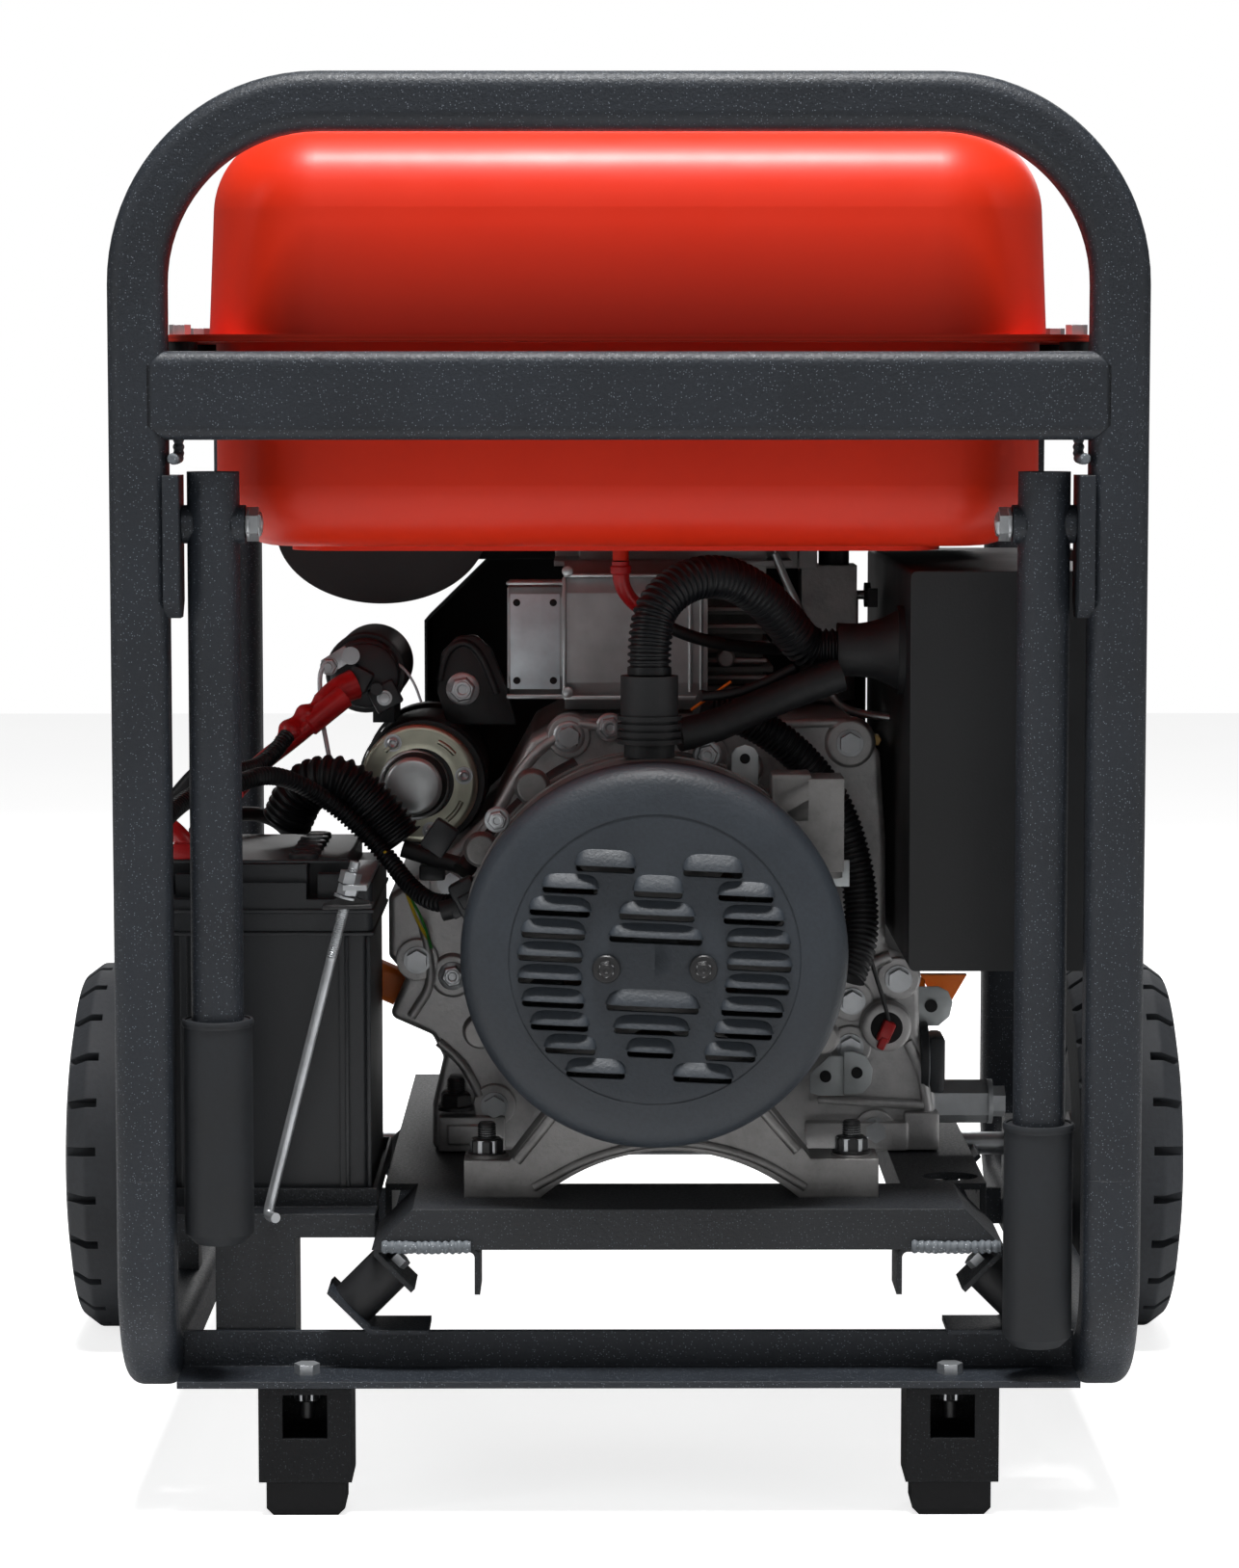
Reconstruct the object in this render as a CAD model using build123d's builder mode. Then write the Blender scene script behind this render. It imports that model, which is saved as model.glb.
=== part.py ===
from build123d import *

import math
import os

# Portable open-frame generator: electric-start engine, alternator with two feet, steel fuel tank,
# battery, control box, two wheels and two folding lift handles.
#
# Frame of the part: millimetres, +Z up, origin on the floor under the middle of the frame.
# -Y is the alternator and handle end, +Y the recoil starter end, +X the control panel side.

os.makedirs("parts", exist_ok=True)

# ---- driving dimensions -------------------------------------------------------------------

FRAME_WIDTH = 590.0
FRAME_DEPTH = 680.0
FRAME_HEIGHT = 831.0
TUBE_WIDTH = 33.0  # section of the hoops, across X on the legs
TUBE_DEPTH = 34.0  # section of the hoops, along Y on the legs
TUBE_WALL = 2.5
TUBE_CORNER = 10.0
HOOP_RADIUS = 103.0  # centre-line radius of the top corners
RAIL_RADIUS = 60.0  # centre-line radius where a leg turns into a base rail
RAIL_Z = 83.0  # centre of the base rails
SPLICE_Z = 200.0  # butt weld between hoop legs and base rails
PLATE = 4.0  # thickness of the welded frame plates

CROSSBAR_DEPTH = 30.0
CROSSBAR_HEIGHT = 50.0
CROSSBAR_Z = 649.0
TANK_RAIL_X = 267.5
TANK_RAIL_Z = 656.0
TANK_RAIL_WIDTH = 35.0
TANK_RAIL_HEIGHT = 32.0

WHEEL_RADIUS = 127.0
WHEEL_Y = 195.0
TYRE_INNER_X = 304.0
TYRE_OUTER_X = 380.0
AXLE_RADIUS = 8.0
RUNNING_FIT = 0.05  # radial clearance of every turning pair

FOOT_X = 188.0
FOOT_Y = -304.0
FOOT_TOP = 76.0

PIVOT_X = 237.0
PIVOT_Y = -319.0
PIVOT_Z = 576.0
PIVOT_BOLT_RADIUS = 5.0
HANDLE_RADIUS = 15.0
HANDLE_TOP = 606.0
GRIP_RADIUS = 20.0
GRIP_LENGTH = 130.0
GRIP_BOTTOM = {"left": 161.0, "right": 100.0}

CRADLE_TOP = 177.0
CRADLE_BOTTOM = 153.0
CRADLE_X = 35.0  # middle of the cradle
MOUNT_OFFSET_X = 186.0
MOUNT_Z = 127.0
MOUNT_YS = (-277.0, 167.0)
MOUNT_RADIUS = 14.0
MOUNT_LENGTH = 32.0

TANK_HALF_WIDTH = 247.0
TANK_HALF_DEPTH = 290.0
TANK_TOP = 805.0
FLANGE_Z = 682.0
FLANGE_HALF_WIDTH = 272.0
FLANGE_HALF_DEPTH = 302.0
SHEET = 2.0
BASIN_HALF_WIDTH = 243.0
BASIN_HALF_DEPTH = 283.0
SUMP_BACK_Y = -60.0
SUMP_Z = 561.0
SHALLOW_Z = 612.0
TANK_BOLT_X = 260.0
TANK_BOLT_YS = (-270.0, -150.0, 150.0, 270.0)

CRANK_X = 15.0
CRANK_Z = 325.0
COVER_FRONT_Y = -110.0  # crankcase cover, alternator side
CASE_FRONT_Y = -74.0
CASE_BACK_Y = 130.0
SHROUD_BACK_Y = 215.0
JOURNAL_RADIUS = 17.5

BELL_RADIUS = 112.0
BELL_FRONT_Y = -285.0
BELL_BACK_Y = -215.0
END_COVER_RADIUS = 105.0
END_COVER_FRONT_Y = -318.0
SLOT_ROWS = 10
SLOT_TOP = 56.0
SLOT_PITCH = 13.3
SLOT_HEIGHT = 4.0
SLOT_FIELD_RADIUS = 79.0
SLOT_TURN = -2.7
SLOT_MIDDLE_ROWS = {1: 14.0, 2: 21.6, 3: 26.8, 6: 26.7, 7: 21.6, 8: 13.4}

STARTER_X = -128.0
STARTER_Z = 408.0
SOLENOID_X = -164.0
SOLENOID_Z = 476.0

BATTERY_X = -216.0
BATTERY_WIDTH = 130.0
BATTERY_FRONT_Y = -255.0
BATTERY_LENGTH = 168.0
BATTERY_BOTTOM = 173.0
BATTERY_RIM = 345.0

BOX_INNER_X = 167.0
BOX_OUTER_X = 283.0
BOX_FRONT_Y = -240.0
BOX_BACK_Y = 164.0
BOX_BOTTOM = 308.0
BOX_TOP = 546.0
PANEL_X = 286.0

LEG_X = (FRAME_WIDTH - TUBE_WIDTH) / 2
LEG_Y = (FRAME_DEPTH - TUBE_DEPTH) / 2
HOOP_TOP_Z = FRAME_HEIGHT - TUBE_WIDTH / 2
INNER_X = FRAME_WIDTH / 2 - TUBE_WIDTH
LEG_BACK_Y = FRAME_DEPTH / 2 - TUBE_DEPTH


# ---- shared shapes ------------------------------------------------------------------------


def disc(x, y, z, direction, radius, length, mode=Mode.ADD):
    """Round bar that starts at a point and runs along a direction."""
    with BuildSketch(Plane(origin=(x, y, z), z_dir=direction)) as section:
        Circle(radius)
    extrude(section.sketch, amount=length, mode=mode)


def ring(x, y, z, direction, outer, inner, length, mode=Mode.ADD):
    """Round tube that starts at a point and runs along a direction."""
    with BuildSketch(Plane(origin=(x, y, z), z_dir=direction)) as section:
        Circle(outer)
        Circle(inner, mode=Mode.SUBTRACT)
    extrude(section.sketch, amount=length, mode=mode)


def hexagon(x, y, z, direction, across_flats, length, mode=Mode.ADD):
    """Hexagonal bar, such as a bolt head or a nut."""
    with BuildSketch(Plane(origin=(x, y, z), z_dir=direction)) as section:
        RegularPolygon(across_flats / 2, 6, major_radius=False)
    extrude(section.sketch, amount=length, mode=mode)


def block(low, high, mode=Mode.ADD):
    """Rectangular block between two opposite corners."""
    middle = [(a + b) / 2 for a, b in zip(low, high)]
    with Locations(tuple(middle)):
        Box(high[0] - low[0], high[1] - low[1], high[2] - low[2], mode=mode)


def bolt(x, y, z, direction, shank_radius, shank, across_flats, head):
    """Hexagon bolt whose seat is at the point, head along the direction, shank the other way."""
    back = tuple(-value for value in direction)
    hexagon(x, y, z, direction, across_flats, head)
    disc(x, y, z, back, shank_radius, shank)


def corner_radii(points):
    """Largest smooth bend at each corner of a hose route: 0.45 of the shorter run."""
    corners = [Vector(point) for point in points]
    radii = []
    for before, here, after in zip(corners, corners[1:], corners[2:]):
        half_turn = math.radians((here - before).get_angle(after - here)) / 2
        shorter = min((here - before).length, (after - here).length)
        radii.append(0.45 * shorter / math.tan(half_turn))
    return radii


def hose(name, points, diameter):
    """Round hose along a route of straight runs joined by tangent arcs."""
    radii = corner_radii(points)
    with BuildLine() as route:
        FilletPolyline(*points, radius=radii)
    path = route.wires()[0]
    with BuildSketch(Plane(origin=points[0], z_dir=Vector(points[1]) - Vector(points[0]))) as section:
        Circle(diameter / 2)
    swept = sweep(section.sketch, path=path)
    ideal = math.pi * diameter**2 / 4 * path.length
    print(f"{name}: length {path.length:.0f} mm, volume ratio {swept.volume / ideal:.3f},",
          "radii", [round(radius) for radius in radii])


# ---- tubular frame ------------------------------------------------------------------------

for end, direction in (("front", -1), ("rear", 1)):
    hoop_y = direction * LEG_Y
    with BuildPart() as hoop:
        with BuildLine(Plane.XZ.offset(-hoop_y)):
            FilletPolyline(
                (-LEG_X, SPLICE_Z),
                (-LEG_X, HOOP_TOP_Z),
                (LEG_X, HOOP_TOP_Z),
                (LEG_X, SPLICE_Z),
                radius=HOOP_RADIUS,
            )
        with BuildSketch(Plane(origin=(-LEG_X, hoop_y, SPLICE_Z))):
            RectangleRounded(TUBE_WIDTH, TUBE_DEPTH, TUBE_CORNER)
            RectangleRounded(
                TUBE_WIDTH - 2 * TUBE_WALL,
                TUBE_DEPTH - 2 * TUBE_WALL,
                TUBE_CORNER - TUBE_WALL,
                mode=Mode.SUBTRACT,
            )
        sweep()
        if end == "front":
            # welded plates that carry the handle pivots
            for side in (-1, 1):
                with BuildSketch(Plane.YZ.offset(side * 259.5 - 4.5)) as gusset:
                    with BuildLine():
                        Polyline(
                            (-340, 604), (-306, 604), (-306, 532), (-315, 523), (-331, 523), (-340, 532), close=True
                        )
                    make_face()
                extrude(gusset.sketch, amount=9)
                disc(side * 250, PIVOT_Y, PIVOT_Z, (side, 0, 0), 5.3, 14, Mode.SUBTRACT)
    hoop.part.label = f"{end}_hoop"
    export_step(hoop.part, f"parts/{end}_hoop.step")

with BuildPart() as base_rails:
    for side in (-1, 1):
        with BuildLine(Plane.YZ.offset(side * LEG_X)):
            FilletPolyline(
                (-LEG_Y, SPLICE_Z), (-LEG_Y, RAIL_Z), (LEG_Y, RAIL_Z), (LEG_Y, SPLICE_Z), radius=RAIL_RADIUS
            )
        with BuildSketch(Plane(origin=(side * LEG_X, -LEG_Y, SPLICE_Z))):
            RectangleRounded(TUBE_WIDTH, TUBE_DEPTH, TUBE_CORNER)
            RectangleRounded(
                TUBE_WIDTH - 2 * TUBE_WALL,
                TUBE_DEPTH - 2 * TUBE_WALL,
                TUBE_CORNER - TUBE_WALL,
                mode=Mode.SUBTRACT,
            )
        sweep()
        # welded block that holds the axle
        with Locations((side * LEG_X, WHEEL_Y, 121.5)):
            Box(22, 44, 46)
        disc(side * 262, WHEEL_Y, WHEEL_RADIUS, (side, 0, 0), AXLE_RADIUS + RUNNING_FIT, 34, Mode.SUBTRACT)
base_rails.part.label = "base_rails"
export_step(base_rails.part, "parts/base_rails.step")

# Two cross-bars flush with the hoops, two side rails under the tank flange, and two hangers that
# carry the control box.
with BuildPart() as tank_support:
    for direction in (-1, 1):
        with BuildSketch(Plane.YZ.offset(-LEG_X)):
            with Locations((direction * (FRAME_DEPTH / 2 - CROSSBAR_DEPTH / 2), CROSSBAR_Z)):
                RectangleRounded(CROSSBAR_DEPTH, CROSSBAR_HEIGHT, 8)
                RectangleRounded(CROSSBAR_DEPTH - 5, CROSSBAR_HEIGHT - 5, 5.5, mode=Mode.SUBTRACT)
        extrude(amount=2 * LEG_X)
    with BuildSketch(Plane.XY.offset(CROSSBAR_Z - 40)):
        with GridLocations(2 * LEG_X, 2 * LEG_Y, 2, 2):
            RectangleRounded(TUBE_WIDTH, TUBE_DEPTH, TUBE_CORNER)
    extrude(amount=80, mode=Mode.SUBTRACT)
    for side in (-1, 1):
        with BuildSketch(Plane.XZ.offset(-LEG_BACK_Y)):
            with Locations((side * TANK_RAIL_X, TANK_RAIL_Z)):
                RectangleRounded(TANK_RAIL_WIDTH, TANK_RAIL_HEIGHT, 4)
                RectangleRounded(TANK_RAIL_WIDTH - 5, TANK_RAIL_HEIGHT - 5, 1.5, mode=Mode.SUBTRACT)
        extrude(amount=2 * LEG_BACK_Y)
        for bolt_y in TANK_BOLT_YS:
            disc(side * TANK_BOLT_X, bolt_y, 665, (0, 0, 1), 3.4, 10, Mode.SUBTRACT)
    for hanger_y in (-200, 120):
        block((279, hanger_y, BOX_TOP), (283, hanger_y + 24, TANK_RAIL_Z - TANK_RAIL_HEIGHT / 2))
tank_support.part.label = "tank_support"
export_step(tank_support.part, "parts/tank_support.step")

# Front and rear base angles, each with the folded seats of its two engine mounts.
with BuildPart() as base_angles:
    for web_y, flange_low, flange_high in ((-286, -326, -286), (163, 167, 203)):
        block((-INNER_X, web_y, FOOT_TOP), (INNER_X, web_y + PLATE, 101))
        block((-INNER_X, flange_low, FOOT_TOP), (INNER_X, flange_high, FOOT_TOP + PLATE))
    for mount_y in MOUNT_YS:
        for side in (-1, 1):
            mount_x = CRADLE_X + side * MOUNT_OFFSET_X
            with BuildSketch(Plane.XZ.offset(-(mount_y + 20))) as seat:
                with BuildLine():
                    FilletPolyline(
                        (mount_x + side * 24.6, MOUNT_Z - 0.3),
                        (mount_x + side * 0.3, MOUNT_Z - 24.6),
                        (mount_x - side * 34, MOUNT_Z - 24.6),
                        radius=5,
                    )
                trace(line_width=3)
            extrude(seat.sketch, amount=40)
    for side in (-1, 1):
        disc(side * FOOT_X, FOOT_Y, FOOT_TOP - 1, (0, 0, 1), 4.3, 6, Mode.SUBTRACT)
base_angles.part.label = "base_angles"
export_step(base_angles.part, "parts/base_angles.step")

with BuildPart() as foot_brackets:
    for side in (-1, 1):
        x = side * FOOT_X
        block((x - 27, -325, 20), (x + 27, -283, FOOT_TOP))
        block((x - 23, -321, 15), (x + 23, -287, FOOT_TOP - PLATE), Mode.SUBTRACT)
        block((x - 13, -330, 46), (x + 13, -320, FOOT_TOP - PLATE), Mode.SUBTRACT)
        disc(x, FOOT_Y, FOOT_TOP - 6, (0, 0, 1), 4.3, 8, Mode.SUBTRACT)
    chamfer(foot_brackets.edges().filter_by(Axis.X).group_by(Axis.Z)[0], 1.2)
foot_brackets.part.label = "foot_brackets"
export_step(foot_brackets.part, "parts/foot_brackets.step")

with BuildPart() as foot_rubbers:
    for side in (-1, 1):
        block((side * FOOT_X - 22.9, -320.9, 0), (side * FOOT_X + 22.9, -287.1, 42))
    chamfer(foot_rubbers.edges().filter_by(Axis.Y).group_by(Axis.Z)[0], 4)
foot_rubbers.part.label = "foot_rubbers"
export_step(foot_rubbers.part, "parts/foot_rubbers.step")

# ---- engine cradle ------------------------------------------------------------------------

CRADLE_HALF = 185.0
BEAM_FRONT_Y = -304.0
BEAM_BACK_Y = -223.0
with BuildPart() as engine_cradle:
    # front beam, an inverted channel with sloped ends
    with BuildSketch(Plane.XZ.offset(-BEAM_BACK_Y)):
        with Locations((CRADLE_X, (CRADLE_TOP + CRADLE_BOTTOM) / 2)):
            Trapezoid(2 * CRADLE_HALF, CRADLE_TOP - CRADLE_BOTTOM, 45)
    extrude(amount=BEAM_BACK_Y - BEAM_FRONT_Y)
    # side rails and rear beam
    for rail_x in (CRADLE_X - CRADLE_HALF + 4, CRADLE_X + CRADLE_HALF - 56):
        block((rail_x, BEAM_BACK_Y, CRADLE_BOTTOM), (rail_x + 52, 190, CRADLE_TOP))
    block((CRADLE_X - 160, 145, CRADLE_BOTTOM), (CRADLE_X + 160, 190, CRADLE_TOP))
    # hollow undersides
    hollow_top = CRADLE_TOP - PLATE
    block((CRADLE_X - 155, BEAM_FRONT_Y + PLATE, 140), (CRADLE_X + 155, BEAM_BACK_Y - PLATE, hollow_top), Mode.SUBTRACT)
    for rail_x in (CRADLE_X - CRADLE_HALF + 8, CRADLE_X + CRADLE_HALF - 52):
        block((rail_x, BEAM_BACK_Y, 140), (rail_x + 44, 186, hollow_top), Mode.SUBTRACT)
    # opening for the drain hose
    with BuildSketch(Plane.XY.offset(CRADLE_TOP - 10)):
        with Locations((196, -200)):
            Ellipse(17, 13)
    extrude(amount=12, mode=Mode.SUBTRACT)
    # folded brackets that hang on the rubber mounts
    for mount_y in MOUNT_YS:
        for side in (-1, 1):
            mount_x = CRADLE_X + side * MOUNT_OFFSET_X
            with BuildSketch(Plane.XZ.offset(-(mount_y + 20))) as bracket:
                with BuildLine():
                    FilletPolyline(
                        (mount_x - side * 24.8, MOUNT_Z + 0.3),
                        (mount_x - side * 0.3, MOUNT_Z + 24.8),
                        (mount_x - side * 62.5, MOUNT_Z + 24.8),
                        (mount_x - side * 62.5, MOUNT_Z - 2),
                        radius=(2, 5),
                    )
                trace(line_width=3.2)
            extrude(bracket.sketch, amount=40)
    # stud holes for the alternator feet
    for stud_x in (-84, 133):
        disc(stud_x, -250, 170, (0, 0, 1), 5.2, 10, Mode.SUBTRACT)
engine_cradle.part.label = "engine_cradle"
export_step(engine_cradle.part, "parts/engine_cradle.step")

# Ten rubber pieces: four mounts that stand at 45 degrees and eight bushes under the tank flange.
with BuildPart() as rubber_isolators:
    for mount_y in MOUNT_YS:
        for side in (-1, 1):
            start_x = CRADLE_X + side * MOUNT_OFFSET_X + side * MOUNT_LENGTH / 2 * math.sqrt(0.5)
            start_z = MOUNT_Z - MOUNT_LENGTH / 2 * math.sqrt(0.5)
            disc(start_x, mount_y, start_z, (-side, 0, 1), MOUNT_RADIUS, MOUNT_LENGTH)
    for side in (-1, 1):
        for bolt_y in TANK_BOLT_YS:
            ring(side * TANK_BOLT_X, bolt_y, 672, (0, 0, 1), 10, 3.4, FLANGE_Z - SHEET - 672)
rubber_isolators.part.label = "rubber_isolators"
export_step(rubber_isolators.part, "parts/rubber_isolators.step")

# ---- battery and its tray -----------------------------------------------------------------

BATTERY_LOW_X = BATTERY_X - BATTERY_WIDTH / 2
BATTERY_HIGH_X = BATTERY_X + BATTERY_WIDTH / 2
BATTERY_BACK_Y = BATTERY_FRONT_Y + BATTERY_LENGTH

with BuildPart() as battery_tray:
    block((BATTERY_LOW_X - 4, BATTERY_FRONT_Y - 5, 170), (BATTERY_HIGH_X + 2, BATTERY_BACK_Y + 5, 181))
    block(
        (BATTERY_LOW_X - 1, BATTERY_FRONT_Y - 2, BATTERY_BOTTOM),
        (BATTERY_HIGH_X + 0.5, BATTERY_BACK_Y + 2, 190),
        Mode.SUBTRACT,
    )
    block((BATTERY_LOW_X - 4, -282, 156), (BATTERY_HIGH_X + 2, -240, 160))
    block((BATTERY_LOW_X - 4, -282, 156), (BATTERY_HIGH_X + 2, -278, 170))
    block((BATTERY_LOW_X - 4, -282, 167), (BATTERY_HIGH_X + 2, -240, 170))
    block((BATTERY_LOW_X - 4, -244, 156), (BATTERY_HIGH_X + 2, -240, 170))
    block((-243, -282, FOOT_TOP + PLATE), (-196, -278, 158))
    block((-200, -279, FOOT_TOP + PLATE), (-196, -240, 158))
    block((-283, -106, RAIL_Z + TUBE_DEPTH / 2), (-270, -86, 171))
battery_tray.part.label = "battery_tray"
export_step(battery_tray.part, "parts/battery_tray.step")

with BuildPart() as battery_case:
    with BuildSketch(Plane.XY.offset(BATTERY_BOTTOM)):
        with Locations((BATTERY_X, (BATTERY_FRONT_Y + BATTERY_BACK_Y) / 2)):
            RectangleRounded(BATTERY_WIDTH - 6, BATTERY_LENGTH - 3, 4)
    extrude(amount=BATTERY_RIM - BATTERY_BOTTOM)
    with BuildSketch(Plane.XY.offset(BATTERY_RIM - 11)):
        with Locations((BATTERY_X, (BATTERY_FRONT_Y + BATTERY_BACK_Y) / 2)):
            RectangleRounded(BATTERY_WIDTH, BATTERY_LENGTH, 5)
    extrude(amount=11)
    for rib_x in (BATTERY_LOW_X + 18, BATTERY_HIGH_X - 18):
        for rib_y in (BATTERY_FRONT_Y, BATTERY_BACK_Y - 1.6):
            block((rib_x - 2, rib_y, BATTERY_BOTTOM + 6), (rib_x + 2, rib_y + 1.6, BATTERY_RIM - 10))
battery_case.part.label = "battery_case"
export_step(battery_case.part, "parts/battery_case.step")

with BuildPart() as battery_lid:
    with BuildSketch(Plane.XY.offset(BATTERY_RIM)):
        with Locations((BATTERY_X, (BATTERY_FRONT_Y + BATTERY_BACK_Y) / 2)):
            RectangleRounded(BATTERY_WIDTH, BATTERY_LENGTH, 5)
    extrude(amount=18)
    with BuildSketch(Plane.XY.offset(BATTERY_RIM + 18)):
        with Locations((BATTERY_X - 3, (BATTERY_FRONT_Y + BATTERY_BACK_Y) / 2)):
            RectangleRounded(BATTERY_WIDTH - 24, BATTERY_LENGTH - 8, 4)
    extrude(amount=12)
    chamfer(battery_lid.faces().sort_by(Axis.Z)[-1].edges(), 1.5)
    # corner pockets and the two terminal posts that stand in them
    for post_x in (BATTERY_LOW_X + 20, BATTERY_HIGH_X - 26):
        block((post_x - 13, BATTERY_FRONT_Y - 5, BATTERY_RIM + 8), (post_x + 13, BATTERY_FRONT_Y + 26, 400), Mode.SUBTRACT)
        block((post_x - 7, BATTERY_FRONT_Y + 8, BATTERY_RIM + 8), (post_x + 7, BATTERY_FRONT_Y + 20, BATTERY_RIM + 22))
battery_lid.part.label = "battery_lid"
export_step(battery_lid.part, "parts/battery_lid.step")

# ---- fuel tank ----------------------------------------------------------------------------


def basin(inset):
    """Pressed lower half of the tank: a deep sump at the front and a shallow rear floor."""
    with BuildPart() as solid:
        with BuildSketch(Plane.XY.offset(SHALLOW_Z + inset)):
            RectangleRounded(2 * (BASIN_HALF_WIDTH - inset), 2 * (BASIN_HALF_DEPTH - inset), 60 - inset)
        extrude(amount=FLANGE_Z - SHALLOW_Z - inset)
        fillet(solid.faces().sort_by(Axis.Z)[0].edges(), 24 - inset)
        with BuildSketch(Plane.XY.offset(SUMP_Z + inset)):
            with Locations((0, (SUMP_BACK_Y - BASIN_HALF_DEPTH) / 2)):
                RectangleRounded(
                    2 * (BASIN_HALF_WIDTH - inset), SUMP_BACK_Y + BASIN_HALF_DEPTH - 2 * inset, 59 - inset
                )
        extrude(amount=FLANGE_Z - SUMP_Z - inset)
        fillet(solid.faces().sort_by(Axis.Z)[0].edges(), 36 - inset)
    return solid.part


tank_basin = basin(0)
basin_void = basin(SHEET)

with BuildPart() as tank_lower_shell:
    add(tank_basin)
    with BuildSketch(Plane.XY.offset(SUMP_Z - 3)):
        with Locations((-7, -170)):
            RectangleRounded(386, 140, 30)
    extrude(amount=4)
    with BuildSketch(Plane.XY.offset(FLANGE_Z - SHEET)):
        RectangleRounded(2 * FLANGE_HALF_WIDTH, 2 * FLANGE_HALF_DEPTH, 40)
    extrude(amount=SHEET)
    add(basin_void, mode=Mode.SUBTRACT)
    for side in (-1, 1):
        for bolt_y in TANK_BOLT_YS:
            disc(side * TANK_BOLT_X, bolt_y, FLANGE_Z - 5, (0, 0, 1), 3.4, 8, Mode.SUBTRACT)
    # fuel outlet spigot
    disc(-4, -150, SUMP_Z - 12, (0, 0, 1), 5, 12)
    disc(-4, -150, SUMP_Z - 13, (0, 0, 1), 2.5, 18, Mode.SUBTRACT)
tank_lower_shell.part.label = "tank_lower_shell"
export_step(tank_lower_shell.part, "parts/tank_lower_shell.step")


def dome(inset):
    """Drawn upper half of the tank with soft top edges."""
    with BuildPart() as solid:
        with BuildSketch(Plane.XY.offset(FLANGE_Z)):
            RectangleRounded(2 * (TANK_HALF_WIDTH - inset), 2 * (TANK_HALF_DEPTH - inset), 66 - inset)
        extrude(amount=TANK_TOP - FLANGE_Z - inset, taper=2.5)
        fillet(solid.faces().sort_by(Axis.Z)[-1].edges(), 50 - inset)
    return solid.part


tank_dome = dome(0)
dome_void = dome(SHEET)
CAP_X = -60.0
GAUGE_X = 90.0
NECK_RADIUS = 30.0

with BuildPart() as tank_upper_shell:
    add(tank_dome)
    with BuildSketch(Plane.XY.offset(FLANGE_Z)):
        RectangleRounded(2 * FLANGE_HALF_WIDTH, 2 * FLANGE_HALF_DEPTH, 40)
    extrude(amount=SHEET)
    add(dome_void, mode=Mode.SUBTRACT)
    disc(CAP_X, 0, TANK_TOP - 1, (0, 0, 1), NECK_RADIUS, 11)
    disc(CAP_X, 0, TANK_TOP - 5, (0, 0, 1), NECK_RADIUS - 2.5, 20, Mode.SUBTRACT)
    disc(GAUGE_X, 0, TANK_TOP - 5, (0, 0, 1), 14, 10, Mode.SUBTRACT)
    for side in (-1, 1):
        for bolt_y in TANK_BOLT_YS:
            disc(side * TANK_BOLT_X, bolt_y, FLANGE_Z - 3, (0, 0, 1), 3.4, 8, Mode.SUBTRACT)
tank_upper_shell.part.label = "tank_upper_shell"
export_step(tank_upper_shell.part, "parts/tank_upper_shell.step")

with BuildPart() as fuel_cap:
    disc(CAP_X, 0, TANK_TOP + 1, (0, 0, 1), 38, 23)
    fillet(fuel_cap.faces().sort_by(Axis.Z)[-1].edges(), 5)
    disc(CAP_X, 0, TANK_TOP, (0, 0, 1), NECK_RADIUS + 0.4, 16, Mode.SUBTRACT)
    with Locations((CAP_X, 0, TANK_TOP + 12)):
        with PolarLocations(39.5, 12):
            Cylinder(4, 40, mode=Mode.SUBTRACT)
fuel_cap.part.label = "fuel_cap"
export_step(fuel_cap.part, "parts/fuel_cap.step")

with BuildPart() as fuel_gauge:
    disc(GAUGE_X, 0, TANK_TOP, (0, 0, 1), 22, 6)
    fillet(fuel_gauge.faces().sort_by(Axis.Z)[-1].edges(), 2)
    disc(GAUGE_X, 0, TANK_TOP - 30, (0, 0, 1), 13.5, 30)
fuel_gauge.part.label = "fuel_gauge"
export_step(fuel_gauge.part, "parts/fuel_gauge.step")

# ---- alternator ---------------------------------------------------------------------------

with BuildPart() as end_bell:
    ring(CRANK_X, BELL_BACK_Y, CRANK_Z, (0, -1, 0), BELL_RADIUS, 100, BELL_BACK_Y - BELL_FRONT_Y)
    disc(CRANK_X, BELL_FRONT_Y + 8, CRANK_Z, (0, -1, 0), 101, 8)
    disc(CRANK_X, BELL_FRONT_Y + 24, CRANK_Z, (0, -1, 0), 28, 24)
    # two feet joined by an arch
    with BuildSketch(Plane.XZ.offset(232)) as feet:
        with BuildLine():
            outline = Polyline(
                (-52, 177), (-97, 177), (-97, 199), (-70, 199), (-46, 230), (-34, 256),
                (64, 256), (83, 231), (108, 200), (148, 200), (148, 177), (101, 177),
            )
            ThreePointArc((101, 177), (27, 205), (-52, 177))
        make_face()
    extrude(feet.sketch, amount=36)
    # terminal housing lug beside the ring
    block((CRANK_X + 70, -262, CRANK_Z + 45), (CRANK_X + 112, -222, CRANK_Z + 100))
    # cooling openings in the front wall and the shaft bearing
    for index in range(6):
        angle = math.radians(60 * index + 30)
        disc(
            CRANK_X + 66 * math.cos(angle),
            BELL_FRONT_Y - 2,
            CRANK_Z + 66 * math.sin(angle),
            (0, 1, 0),
            22,
            12,
            Mode.SUBTRACT,
        )
    disc(CRANK_X, BELL_FRONT_Y - 2, CRANK_Z, (0, 1, 0), 15 + RUNNING_FIT, 40, Mode.SUBTRACT)
    disc(CRANK_X, BELL_FRONT_Y + 24, CRANK_Z, (0, 1, 0), 99.9, 60, Mode.SUBTRACT)
    for stud_x in (-84, 133):
        disc(stud_x, -250, 170, (0, 0, 1), 5.2, 40, Mode.SUBTRACT)
    for side in (-1, 1):
        disc(CRANK_X + side * 28, BELL_FRONT_Y - 2, CRANK_Z - 5, (0, 1, 0), 2.6, 12, Mode.SUBTRACT)
end_bell.part.label = "end_bell"
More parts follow.
